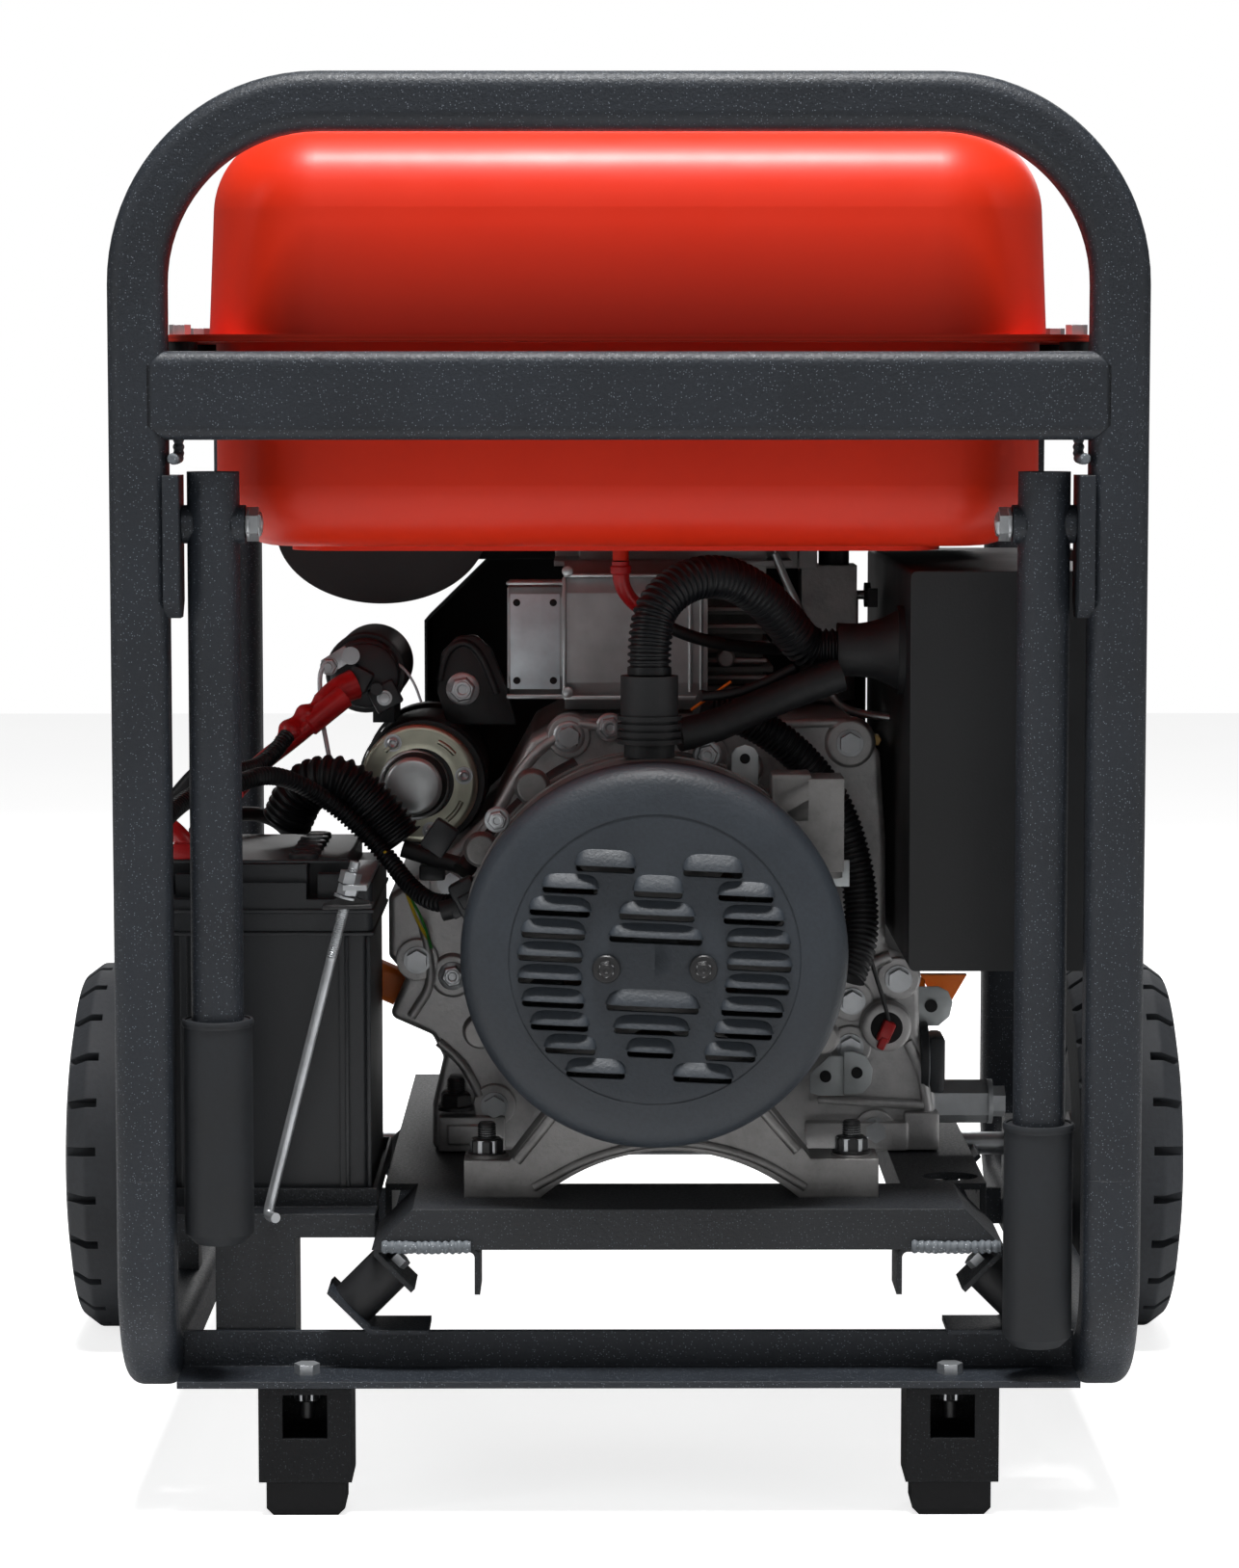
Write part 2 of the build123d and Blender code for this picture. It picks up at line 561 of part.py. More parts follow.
export_step(end_bell.part, "parts/end_bell.step")

# Cooling slots of the end cover: (middle, half length, lower edge) of each, before the pattern is
# turned. Ten rows in two side columns with rounded outer ends, and six shorter rows between them.
COVER_SLOTS = []
for row in range(SLOT_ROWS):
    row_z = SLOT_TOP - SLOT_PITCH * row
    inner = 42 - 0.004 * row_z**2
    outer = math.sqrt(SLOT_FIELD_RADIUS**2 - row_z**2)
    if row in (0, SLOT_ROWS - 1):
        inner, outer = 14, 48
    for side in (-1, 1):
        COVER_SLOTS.append((side * (inner + outer) / 2, (outer - inner) / 2, row_z - 6.5))
    if row in SLOT_MIDDLE_ROWS:
        COVER_SLOTS.append((0, SLOT_MIDDLE_ROWS[row], row_z - 6.5))

with BuildPart() as alternator_cover:
    with BuildSketch(Plane.YZ.offset(CRANK_X)) as profile:
        with BuildLine():
            FilletPolyline(
                (BELL_FRONT_Y, CRANK_Z + END_COVER_RADIUS),
                (-311, CRANK_Z + END_COVER_RADIUS - 0.5),
                (-316.5, CRANK_Z + 84),
                (END_COVER_FRONT_Y, CRANK_Z),
                radius=(14, 40),
            )
            Line((END_COVER_FRONT_Y, CRANK_Z), (BELL_FRONT_Y, CRANK_Z))
            Line((BELL_FRONT_Y, CRANK_Z), (BELL_FRONT_Y, CRANK_Z + END_COVER_RADIUS))
        make_face()
    revolve(profile.sketch, axis=Axis((CRANK_X, 0, CRANK_Z), (0, 1, 0)))
    disc(CRANK_X, BELL_FRONT_Y, CRANK_Z, (0, -1, 0), END_COVER_RADIUS - 4, 12, Mode.SUBTRACT)
    disc(CRANK_X, BELL_FRONT_Y, CRANK_Z, (0, -1, 0), 84, 28.5, Mode.SUBTRACT)
    for side in (-1, 1):
        disc(CRANK_X + side * 28, BELL_FRONT_Y, CRANK_Z - 5, (0, -1, 0), 7, 30)
        disc(CRANK_X + side * 28, BELL_FRONT_Y, CRANK_Z - 5, (0, -1, 0), 2.6, 40, Mode.SUBTRACT)
    with BuildSketch(Plane.XZ.offset(-END_COVER_FRONT_Y + 2)) as openings:
        with Locations(Location((CRANK_X, CRANK_Z, 0), (0, 0, SLOT_TURN))):
            for middle, half_length, slot_z in COVER_SLOTS:
                with Locations((middle, slot_z + SLOT_HEIGHT / 2)):
                    SlotOverall(2 * half_length, SLOT_HEIGHT)
    extrude(openings.sketch, amount=-12, mode=Mode.SUBTRACT)
alternator_cover.part.label = "alternator_cover"
export_step(alternator_cover.part, "parts/alternator_cover.step")

with BuildPart() as stator:
    ring(CRANK_X, -128, CRANK_Z, (0, -1, 0), 99, 61, 86)
stator.part.label = "stator"
export_step(stator.part, "parts/stator.step")

with BuildPart() as rotor:
    ring(CRANK_X, -130, CRANK_Z, (0, -1, 0), 60, 15, 82)
    for angle in (0, 180):
        with Locations((CRANK_X, -171, CRANK_Z)):
            with Locations(Rotation(0, angle, 0)):
                with Locations((74, 0, 0)):
                    Box(60, 90, 34, mode=Mode.SUBTRACT)
rotor.part.label = "rotor"
export_step(rotor.part, "parts/rotor.step")

# ---- engine -------------------------------------------------------------------------------

# Outline of the crankcase seen from the alternator end, clockwise from the lower left corner.
CASE_OUTLINE = (
    (-122, 177), (-122, 206), (-115, 236), (-122, 250), (-149, 262), (-138, 287), (-149, 300), (-149, 338),
    (-118, 360), (-84, 392), (-60, 436), (-36, 449), (140, 449), (158, 428), (162, 372), (162, 307),
    (183, 296), (184, 252), (194, 214), (194, 177),
)
COVER_BOLTS = (
    (-36, 438), (-110, 347), (-131, 298), (-83, 206), (50, 426), (139, 434), (170, 286), (141, 272),
    (140, 243), (156, 190),
)

with BuildPart() as crankcase:
    with BuildSketch(Plane.XZ.offset(-CASE_BACK_Y)):
        with BuildLine():
            Polyline(*CASE_OUTLINE, close=True)
        make_face()
    extrude(amount=CASE_BACK_Y - CASE_FRONT_Y)
    fillet(crankcase.edges().filter_by(Axis.Y), 5)
    with BuildSketch(Plane.XZ.offset(-(CASE_BACK_Y - 12))):
        with BuildLine():
            Polyline(*CASE_OUTLINE, close=True)
        make_face()
        offset(amount=-9, kind=Kind.INTERSECTION, mode=Mode.REPLACE)
    extrude(amount=CASE_BACK_Y - 12 - CASE_FRONT_Y, mode=Mode.SUBTRACT)
    disc(CRANK_X, CASE_BACK_Y - 12, CRANK_Z, (0, -1, 0), 34, 14)
    disc(CRANK_X, CASE_BACK_Y + 1, CRANK_Z, (0, -1, 0), JOURNAL_RADIUS + RUNNING_FIT, 30, Mode.SUBTRACT)
crankcase.part.label = "crankcase"
export_step(crankcase.part, "parts/crankcase.step")

with BuildPart() as crankcase_cover:
    with BuildSketch(Plane.XZ.offset(-CASE_FRONT_Y)):
        with BuildLine():
            Polyline(*CASE_OUTLINE, close=True)
        make_face()
    extrude(amount=CASE_FRONT_Y - COVER_FRONT_Y)
    fillet(crankcase_cover.edges().filter_by(Axis.Y), 5)
    fillet(crankcase_cover.faces().filter_by(Axis.Y).sort_by(Axis.Y)[0].edges(), 4)
    with BuildSketch(Plane.XZ.offset(-CASE_FRONT_Y)):
        with BuildLine():
            Polyline(*CASE_OUTLINE, close=True)
        make_face()
        offset(amount=-12, kind=Kind.INTERSECTION, mode=Mode.REPLACE)
    extrude(amount=CASE_FRONT_Y - COVER_FRONT_Y - 10, mode=Mode.SUBTRACT)
    # bearing boss inside, adaptor ring for the alternator outside
    disc(CRANK_X, CASE_FRONT_Y, CRANK_Z, (0, -1, 0), 34, 30)
    ring(CRANK_X, COVER_FRONT_Y + 1, CRANK_Z, (0, -1, 0), 97, 88, 19)
    for bolt_x, bolt_z in COVER_BOLTS:
        disc(bolt_x, CASE_FRONT_Y, bolt_z, (0, -1, 0), 13, CASE_FRONT_Y - COVER_FRONT_Y + 4)
        disc(bolt_x, CASE_FRONT_Y + 1, bolt_z, (0, -1, 0), 3.3, 60, Mode.SUBTRACT)
    disc(CRANK_X, CASE_FRONT_Y + 1, CRANK_Z, (0, -1, 0), JOURNAL_RADIUS + RUNNING_FIT, 50, Mode.SUBTRACT)
    disc(162, COVER_FRONT_Y - 8, 257, (0, 1, 0), 16, 30)
    disc(162, COVER_FRONT_Y - 9, 257, (0, 1, 0), 11, 16, Mode.SUBTRACT)
crankcase_cover.part.label = "crankcase_cover"
export_step(crankcase_cover.part, "parts/crankcase_cover.step")

CYLINDER_X = 30.0
CYLINDER_Y = 30.0
CYLINDER_BASE = 449.0
FIN_PITCH = 12.3

with BuildPart() as cylinder_block:
    block((CYLINDER_X - 58, CYLINDER_Y - 54, CYLINDER_BASE), (CYLINDER_X + 58, CYLINDER_Y + 54, 536))
    for index in range(6):
        fin_z = CYLINDER_BASE + 12 + FIN_PITCH * index
        with Locations((CYLINDER_X - 6, CYLINDER_Y, fin_z + 2)):
            Box(140, 140, 3.5)
    disc(CYLINDER_X, CYLINDER_Y, CYLINDER_BASE - 1, (0, 0, 1), 44, 90, Mode.SUBTRACT)
cylinder_block.part.label = "cylinder_block"
export_step(cylinder_block.part, "parts/cylinder_block.step")

with BuildPart() as cylinder_head:
    block((CYLINDER_X - 60, CYLINDER_Y - 56, 536), (CYLINDER_X + 60, CYLINDER_Y + 56, 575))
    for fin_z in (543, 554, 565):
        with Locations((CYLINDER_X, CYLINDER_Y, fin_z)):
            Box(152, 140, 3.5)
    # inlet and exhaust flanges
    block((CYLINDER_X + 58, 5, 538), (112, 45, 572))
    block((-46, 40, 540), (CYLINDER_X - 58, 80, 572))
cylinder_head.part.label = "cylinder_head"
export_step(cylinder_head.part, "parts/cylinder_head.step")

with BuildPart() as valve_cover:
    block((CYLINDER_X - 58, CYLINDER_Y - 50, 575), (CYLINDER_X + 58, CYLINDER_Y + 50, 605))
    fillet(valve_cover.edges().filter_by(Axis.Z), 14)
    fillet(valve_cover.faces().sort_by(Axis.Z)[-1].edges(), 8)
valve_cover.part.label = "valve_cover"
export_step(valve_cover.part, "parts/valve_cover.step")

with BuildPart() as heat_shield:
    with BuildSketch(Plane.YZ.offset(-39)) as main_panel:
        with BuildLine():
            FilletPolyline((-62, 545), (-80, 536), (-84, 526), (-84, 470), (-78, 460), (-62, 452), radius=2)
        trace(line_width=1.5)
    extrude(main_panel.sketch, amount=90)
    with BuildSketch(Plane.YZ.offset(-74)) as side_panel:
        with BuildLine():
            FilletPolyline((-62, 533), (-77, 529), (-81, 523), (-81, 474), (-75, 466), (-62, 462), radius=2)
        trace(line_width=1.5)
    extrude(side_panel.sketch, amount=35)
    block((-75, -78, 466), (-73.5, -41, 529))
    block((-75, -48, 480), (CYLINDER_X - 59, -41.5, 515))
    for hole_x in (-69, -45):
        for hole_z in (478, 519):
            disc(hole_x, -90, hole_z, (0, 1, 0), 2.2, 14, Mode.SUBTRACT)
heat_shield.part.label = "heat_shield"
export_step(heat_shield.part, "parts/heat_shield.step")

MUFFLER_X = -159.0
MUFFLER_Z = 562.0
with BuildPart() as muffler:
    with BuildSketch(Plane.XZ.offset(-200)):
        with Locations((MUFFLER_X, MUFFLER_Z)):
            Ellipse(66, 45)
    extrude(amount=180)
    for seam_y in (26, 200):
        with BuildSketch(Plane.XZ.offset(-seam_y)) as seam:
            with Locations((MUFFLER_X, MUFFLER_Z)):
                Ellipse(68.5, 47.5)
        extrude(seam.sketch, amount=6)
    disc(-110, 60, 556, (1, 0, 0), 14, 64)
    disc(MUFFLER_X - 30, 195, MUFFLER_Z - 10, (0, 1, 0), 13, 18)
    disc(MUFFLER_X - 30, 198, MUFFLER_Z - 10, (0, 1, 0), 11, 40, Mode.SUBTRACT)
muffler.part.label = "muffler"
export_step(muffler.part, "parts/muffler.step")

with BuildPart() as carburettor:
    block((112, 0, 538), (124, 50, 572))
    block((114, 4, 478), (150, 46, 540))
    disc(132, 25, 452, (0, 0, 1), 18, 27)
    disc(132, 25, 450, (0, 0, 1), 6, 4)
    disc(150, 25, 520, (1, 0, 0), 3, 12)
carburettor.part.label = "carburettor"
export_step(carburettor.part, "parts/carburettor.step")

with BuildPart() as air_cleaner:
    with BuildSketch(Plane.XY.offset(556)):
        with Locations((180, 55)):
            RectangleRounded(106, 180, 16)
    extrude(amount=48)
    fillet(air_cleaner.faces().sort_by(Axis.Z)[-1].edges(), 8)
    ring(136, 25, 540, (0, 0, 1), 10, 8, 16)
air_cleaner.part.label = "air_cleaner"
export_step(air_cleaner.part, "parts/air_cleaner.step")

with BuildPart() as choke_lever:
    ring(156, 25, 520, (1, 0, 0), 8, 3 + RUNNING_FIT, 4)
    block((156, -15, 517), (159, 18, 523))
    block((156, -19, 514), (162, -13, 526))
choke_lever.part.label = "choke_lever"
export_step(choke_lever.part, "parts/choke_lever.step")

with BuildPart() as fuel_valve_body:
    block((118, 62, 478), (146, 84, 504))
    disc(132, 62, 491, (0, -1, 0), 6, 16)
    disc(146, 73, 491, (1, 0, 0), 4, 9)
    block((98, 62, 485), (119, 80, 497))
fuel_valve_body.part.label = "fuel_valve_body"
export_step(fuel_valve_body.part, "parts/fuel_valve_body.step")

with BuildPart() as fuel_valve_lever:
    ring(148, 73, 491, (1, 0, 0), 8, 4 + RUNNING_FIT, 6)
    block((150.5, 70, 498), (155, 76, 520))
fuel_valve_lever.part.label = "fuel_valve_lever"
export_step(fuel_valve_lever.part, "parts/fuel_valve_lever.step")

with BuildPart() as crankshaft:
    disc(CRANK_X, CASE_BACK_Y + 10, CRANK_Z, (0, -1, 0), JOURNAL_RADIUS, 100)
    disc(CRANK_X, 220, CRANK_Z, (0, -1, 0), 12, 90)
    for web_y in (46, 2):
        disc(CRANK_X, web_y, CRANK_Z, (0, -1, 0), 56, 18)
    disc(CRANK_X, 30, CRANK_Z + 34, (0, -1, 0), 18, 30)
    disc(CRANK_X, -15, CRANK_Z, (0, -1, 0), JOURNAL_RADIUS, 103)
    disc(CRANK_X, -118, CRANK_Z, (0, -1, 0), 15, 160)
crankshaft.part.label = "crankshaft"
export_step(crankshaft.part, "parts/crankshaft.step")

with BuildPart() as flywheel:
    ring(CRANK_X, 176, CRANK_Z, (0, -1, 0), 116, 96, 30)
    ring(CRANK_X, 166, CRANK_Z, (0, -1, 0), 98, 12, 12)
    ring(CRANK_X, 180, CRANK_Z, (0, -1, 0), 30, 12, 30)
    for index in range(12):
        angle = 30 * index
        with BuildSketch(Plane.XZ.offset(-196)) as blade:
            with Locations((CRANK_X, CRANK_Z)):
                with PolarLocations(88, 1, start_angle=angle):
                    Rectangle(48, 4)
        extrude(blade.sketch, amount=31)
flywheel.part.label = "flywheel"
export_step(flywheel.part, "parts/flywheel.step")

with BuildPart() as fan_shroud:
    shroud_outline = (
        (-136, 300), (-136, 498), (-92, 541), (-50, 541), (-50, 556), (112, 556), (112, 541), (164, 470),
        (164, 300), (120, 205), (15, 178), (-92, 205),
    )
    with BuildSketch(Plane.XZ.offset(-SHROUD_BACK_Y)):
        with BuildLine():
            Polyline(*shroud_outline, close=True)
        make_face()
    extrude(amount=SHROUD_BACK_Y - CASE_BACK_Y)
    with BuildSketch(Plane.XZ.offset(-(SHROUD_BACK_Y - 2))):
        with BuildLine():
            Polyline(*shroud_outline, close=True)
        make_face()
        offset(amount=-2, kind=Kind.INTERSECTION, mode=Mode.REPLACE)
    extrude(amount=SHROUD_BACK_Y - 2 - CASE_BACK_Y, mode=Mode.SUBTRACT)
    disc(CRANK_X, SHROUD_BACK_Y + 1, CRANK_Z, (0, -1, 0), 86, 10, Mode.SUBTRACT)
fan_shroud.part.label = "fan_shroud"
export_step(fan_shroud.part, "parts/fan_shroud.step")

with BuildPart() as recoil_starter:
    disc(CRANK_X, SHROUD_BACK_Y, CRANK_Z, (0, 1, 0), 104, 46)
    fillet(recoil_starter.faces().sort_by(Axis.Y)[-1].edges(), 14)
    disc(CRANK_X, SHROUD_BACK_Y, CRANK_Z, (0, 1, 0), 101, 26, Mode.SUBTRACT)
    disc(CRANK_X, SHROUD_BACK_Y, CRANK_Z, (0, 1, 0), 86, 43.5, Mode.SUBTRACT)
    for index in range(16):
        angle = math.radians(22.5 * index)
        slot_x = CRANK_X + 62 * math.cos(angle)
        slot_z = CRANK_Z + 62 * math.sin(angle)
        disc(slot_x, SHROUD_BACK_Y + 40, slot_z, (0, 1, 0), 7, 10, Mode.SUBTRACT)
recoil_starter.part.label = "recoil_starter"
export_step(recoil_starter.part, "parts/recoil_starter.step")

GRIP_X = CRANK_X - 86
GRIP_Z = CRANK_Z + 86
with BuildPart() as recoil_grip:
    with BuildSketch(Plane.XZ.offset(-280)):
        with Locations((GRIP_X, GRIP_Z)):
            SlotOverall(30, 18)
    extrude(amount=62)
    fillet(recoil_grip.edges().filter_by_position(Axis.Y, 279, 281), 4)
recoil_grip.part.label = "recoil_grip"
export_step(recoil_grip.part, "parts/recoil_grip.step")

with BuildPart() as starter_motor:
    disc(STARTER_X, 60, STARTER_Z, (0, -1, 0), 39, 156)
    disc(STARTER_X, 128, STARTER_Z, (0, -1, 0), 30, 70)
    disc(STARTER_X - 2, -95, STARTER_Z, (0, -1, 0), 36, 7)
    fillet(starter_motor.faces().filter_by(Axis.Y).sort_by(Axis.Y)[0].edges(), 4)
    disc(STARTER_X - 4, -100, STARTER_Z, (0, -1, 0), 20, 12)
    fillet(starter_motor.faces().filter_by(Axis.Y).sort_by(Axis.Y)[0].edges(), 6)
starter_motor.part.label = "starter_motor"
export_step(starter_motor.part, "parts/starter_motor.step")

with BuildPart() as starter_solenoid:
    disc(SOLENOID_X, 30, SOLENOID_Z, (0, -1, 0), 25, 112)
    disc(SOLENOID_X, -80, SOLENOID_Z, (0, -1, 0), 22, 12)
    fillet(starter_solenoid.faces().filter_by(Axis.Y).sort_by(Axis.Y)[0].edges(), 3)
    for stud_x, stud_z in ((SOLENOID_X - 8, SOLENOID_Z - 9), (SOLENOID_X + 8, SOLENOID_Z - 9)):
        disc(stud_x, -90, stud_z, (0, -1, 0), 4, 14)
    # saddle that joins it to the starter body
    block((SOLENOID_X + 3, -58, STARTER_Z + 34.7), (SOLENOID_X + 17, 18, SOLENOID_Z - 12))
starter_solenoid.part.label = "starter_solenoid"
export_step(starter_solenoid.part, "parts/starter_solenoid.step")

with BuildPart() as dipsticks:
    with BuildSketch(Plane(origin=(-143.5, -70, 274.5), z_dir=(-0.915, 0, 0.403))) as left_cap:
        RectangleRounded(22, 20, 4)
    extrude(left_cap.sketch, amount=24)
    disc(184, -40, 268, (1, 0, 0), 9, 8)
    with BuildSketch(Plane.XZ.offset(36)) as wings:
        with Locations((204, 270)):
            Trapezoid(30, 18, 60, rotation=180)
    extrude(wings.sketch, amount=8)
dipsticks.part.label = "dipsticks"
export_step(dipsticks.part, "parts/dipsticks.step")

# ---- fasteners ----------------------------------------------------------------------------

with BuildPart() as engine_bolts:
    for bolt_x, bolt_z in COVER_BOLTS:
        seat_y = COVER_FRONT_Y - 4
        disc(bolt_x, seat_y, bolt_z, (0, -1, 0), 8.5, 1.5)
        bolt(bolt_x, seat_y - 1.5, bolt_z, (0, -1, 0), 3.2, 36, 12, 6)
    # studs and nuts of the alternator feet
    for stud_x, seat_z in ((-84, 199), (133, 200)):
        disc(stud_x, -250, 160, (0, 0, 1), 5, 58)
        disc(stud_x, -250, seat_z, (0, 0, 1), 11, 2)
        hexagon(stud_x, -250, seat_z + 2, (0, 0, 1), 17, 8)
        hexagon(stud_x, -250, CRADLE_TOP - PLATE, (0, 0, -1), 17, 8)
    # end cover screws
    for side in (-1, 1):
        bolt(CRANK_X + side * 28, END_COVER_FRONT_Y - 0.5, CRANK_Z - 5, (0, -1, 0), 2.5, 42, 8, 4)
    # drain extension with its flange bolt
    hexagon(194, -92, 205, (1, 0, 0), 24, 34)
    disc(228, -92, 205, (1, 0, 0), 14, 3)
    hexagon(231, -92, 205, (1, 0, 0), 17, 8)
engine_bolts.part.label = "engine_bolts"
export_step(engine_bolts.part, "parts/engine_bolts.step")

ROD_TOP = (-159, -288, 379)
ROD_FOOT = (-210, -288, 178)
with BuildPart() as frame_bolts:
    for side in (-1, 1):
        # handle pivots
        disc(side * 217.7, PIVOT_Y, PIVOT_Z, (side, 0, 0), PIVOT_BOLT_RADIUS, 44)
        hexagon(side * 211, PIVOT_Y, PIVOT_Z, (side, 0, 0), 17, 7)
        # tank flange bolts
        for bolt_y in TANK_BOLT_YS:
            disc(side * TANK_BOLT_X, bolt_y, 662, (0, 0, 1), 3, 23)
            hexagon(side * TANK_BOLT_X, bolt_y, FLANGE_Z + SHEET, (0, 0, 1), 11, 6)
        # foot bolts
        x = side * FOOT_X
        disc(x, FOOT_Y, 54, (0, 0, 1), 4, 27)
        hexagon(x, FOOT_Y, FOOT_TOP + PLATE, (0, 0, 1), 13, 6)
        hexagon(x, FOOT_Y, FOOT_TOP - PLATE, (0, 0, -1), 13, 7)
    # mount bolts behind the cradle brackets
    for mount_y in MOUNT_YS:
        for side in (-1, 1):
            seat = (MOUNT_LENGTH / 2 + 3.4) * math.sqrt(0.5)
            hexagon(CRADLE_X + side * MOUNT_OFFSET_X - side * seat, mount_y, MOUNT_Z + seat, (-side, 0, 1), 12, 5.5)
    # battery hold-down: strap, threaded rod with a hook, nut
    hose("hold_down_rod", (ROD_TOP, ROD_FOOT, (-211.5, -290, 171), (-206, -299, 171)), 6)
    block((-166, -297, BATTERY_RIM + 18), (-152, -160, BATTERY_RIM + 21))
    hexagon(-163, -288, BATTERY_RIM + 21.2, (0.25, 0, 0.97), 11, 7)
frame_bolts.part.label = "frame_bolts"
export_step(frame_bolts.part, "parts/frame_bolts.step")

# ---- control box --------------------------------------------------------------------------

with BuildPart() as control_box:
    block((BOX_INNER_X, BOX_FRONT_Y, BOX_BOTTOM), (BOX_OUTER_X, BOX_BACK_Y, BOX_TOP))
    fillet(control_box.edges().filter_by(Axis.Y), 4)
    block(
        (BOX_INNER_X + 2, BOX_FRONT_Y + 2, BOX_BOTTOM + 2),
        (BOX_OUTER_X + 1, BOX_BACK_Y - 2, BOX_TOP - 2),
        Mode.SUBTRACT,
    )
    disc(BOX_INNER_X - 1, -179, 495, (1, 0, 0), 15, 4, Mode.SUBTRACT)
control_box.part.label = "control_box"
export_step(control_box.part, "parts/control_box.step")

SWITCH_Y = -190.0
SWITCH_Z = 500.0
BREAKER_Y = -120.0
BREAKER_Z = 500.0
RESET_Y = -60.0
RESET_Z = 500.0

with BuildPart() as control_panel:
    block((BOX_OUTER_X, BOX_FRONT_Y - 6, BOX_BOTTOM - 6), (PANEL_X, BOX_BACK_Y + 6, BOX_TOP + 6))
    fillet(control_panel.edges().filter_by(Axis.X), 8)
    block((BOX_OUTER_X - 1, SWITCH_Y - 11.5, SWITCH_Z - 16), (PANEL_X + 1, SWITCH_Y + 11.5, SWITCH_Z + 16), Mode.SUBTRACT)
    block((BOX_OUTER_X - 1, BREAKER_Y - 20, BREAKER_Z - 26), (PANEL_X + 1, BREAKER_Y + 20, BREAKER_Z + 26), Mode.SUBTRACT)
    disc(BOX_OUTER_X - 1, RESET_Y, RESET_Z, (1, 0, 0), 6.4, 6, Mode.SUBTRACT)
control_panel.part.label = "control_panel"
export_step(control_panel.part, "parts/control_panel.step")

# Sockets, breaker body, switch bezel and reset bezel: the fixed devices on the panel.
with BuildPart() as outlets:
    for outlet_y in (-190, -90, 10):
        with BuildSketch(Plane.YZ.offset(PANEL_X)) as plate:
            with Locations((outlet_y, 400)):
                RectangleRounded(70, 112, 6)
        extrude(plate.sketch, amount=3)
        for face_z in (378, 422):
            disc(PANEL_X + 3, outlet_y, face_z, (1, 0, 0), 17, 3)
            block((PANEL_X + 2, outlet_y - 7, face_z), (PANEL_X + 8, outlet_y - 5, face_z + 9), Mode.SUBTRACT)
            block((PANEL_X + 2, outlet_y + 5, face_z), (PANEL_X + 8, outlet_y + 7, face_z + 8), Mode.SUBTRACT)
            disc(PANEL_X + 2, outlet_y, face_z - 7, (1, 0, 0), 2.4, 6, Mode.SUBTRACT)
    # round locking socket
    disc(PANEL_X, 102, 400, (1, 0, 0), 36, 5)
    disc(PANEL_X + 2, 102, 400, (1, 0, 0), 26, 10, Mode.SUBTRACT)
    # meter
    disc(PANEL_X, 60, 500, (1, 0, 0), 26, 5)
    # breaker body with a slot for its lever
    block((PANEL_X - 40, BREAKER_Y - 19, BREAKER_Z - 25), (PANEL_X + 4, BREAKER_Y + 19, BREAKER_Z + 25))
    block((PANEL_X - 14, BREAKER_Y - 8, BREAKER_Z - 14), (PANEL_X + 6, BREAKER_Y + 8, BREAKER_Z + 14), Mode.SUBTRACT)
    # switch bezel
    block((PANEL_X, SWITCH_Y - 15, SWITCH_Z - 20), (PANEL_X + 2, SWITCH_Y + 15, SWITCH_Z + 20))
    block((PANEL_X - 1, SWITCH_Y - 11.5, SWITCH_Z - 16), (PANEL_X + 3, SWITCH_Y + 11.5, SWITCH_Z + 16), Mode.SUBTRACT)
    # reset bezel
    ring(PANEL_X, RESET_Y, RESET_Z, (1, 0, 0), 10, 6.4, 2)
outlets.part.label = "outlets"
export_step(outlets.part, "parts/outlets.step")

ROCKER_X = PANEL_X - 6
with BuildPart() as engine_switch:
    with BuildSketch(Plane.XZ.offset(-(SWITCH_Y + 10.5))) as rocker:
        with BuildLine():
            Polyline(
                (ROCKER_X - 4, SWITCH_Z - 12), (PANEL_X + 3, SWITCH_Z - 14), (PANEL_X + 1.5, SWITCH_Z),
                (PANEL_X + 3, SWITCH_Z + 14), (ROCKER_X - 4, SWITCH_Z + 12), close=True,
            )
        make_face()
    extrude(rocker.sketch, amount=21)
engine_switch.part.label = "engine_switch"
export_step(engine_switch.part, "parts/engine_switch.step")

with BuildPart() as main_breaker:
    disc(PANEL_X - 4, BREAKER_Y - 7, BREAKER_Z, (0, 1, 0), 6, 14)
    block((PANEL_X - 4, BREAKER_Y - 6, BREAKER_Z - 3), (PANEL_X + 9, BREAKER_Y + 6, BREAKER_Z + 3))
main_breaker.part.label = "main_breaker"
export_step(main_breaker.part, "parts/main_breaker.step")

with BuildPart() as reset_button:
    disc(PANEL_X - 6, RESET_Y, RESET_Z, (1, 0, 0), 5.9, 13)
    fillet(reset_button.faces().sort_by(Axis.X)[-1].edges(), 1)
reset_button.part.label = "reset_button"
export_step(reset_button.part, "parts/reset_button.step")

# ---- wiring -------------------------------------------------------------------------------

BELL_BOOT = (12.5, -250, CRANK_Z + BELL_RADIUS)
BOX_BOOT = (BOX_INNER_X, -179, 496)

with BuildPart() as conduit_boots:
    # bellows boot on top of the end bell
    boot_x, boot_y, boot_z = BELL_BOOT
    disc(boot_x, boot_y, boot_z, (0, 0, 1), 15, 12)
    for index in range(4):
        disc(boot_x, boot_y, boot_z + 8 + 4.6 * index, (0, 0, 1), 19, 2.8)
    disc(boot_x, boot_y, boot_z + 8, (0, 0, 1), 16.5, 18)
    disc(boot_x, boot_y, boot_z + 24, (0, 0, 1), 17, 24)
    # flared boot on the control box
    disc(BOX_INNER_X, -179, 496, (-1, 0, 0), 27, 4)
    with BuildSketch(Plane(origin=(BOX_INNER_X - 4, -179, 496), z_dir=(-1, 0, 0))):
        Circle(24)
    with BuildSketch(Plane(origin=(BOX_INNER_X - 14, -179, 496), z_dir=(-1, 0, 0))):
        Circle(19)
    with BuildSketch(Plane(origin=(BOX_INNER_X - 40, -179, 496), z_dir=(-1, 0, 0))):
        Circle(16.5)
    loft()
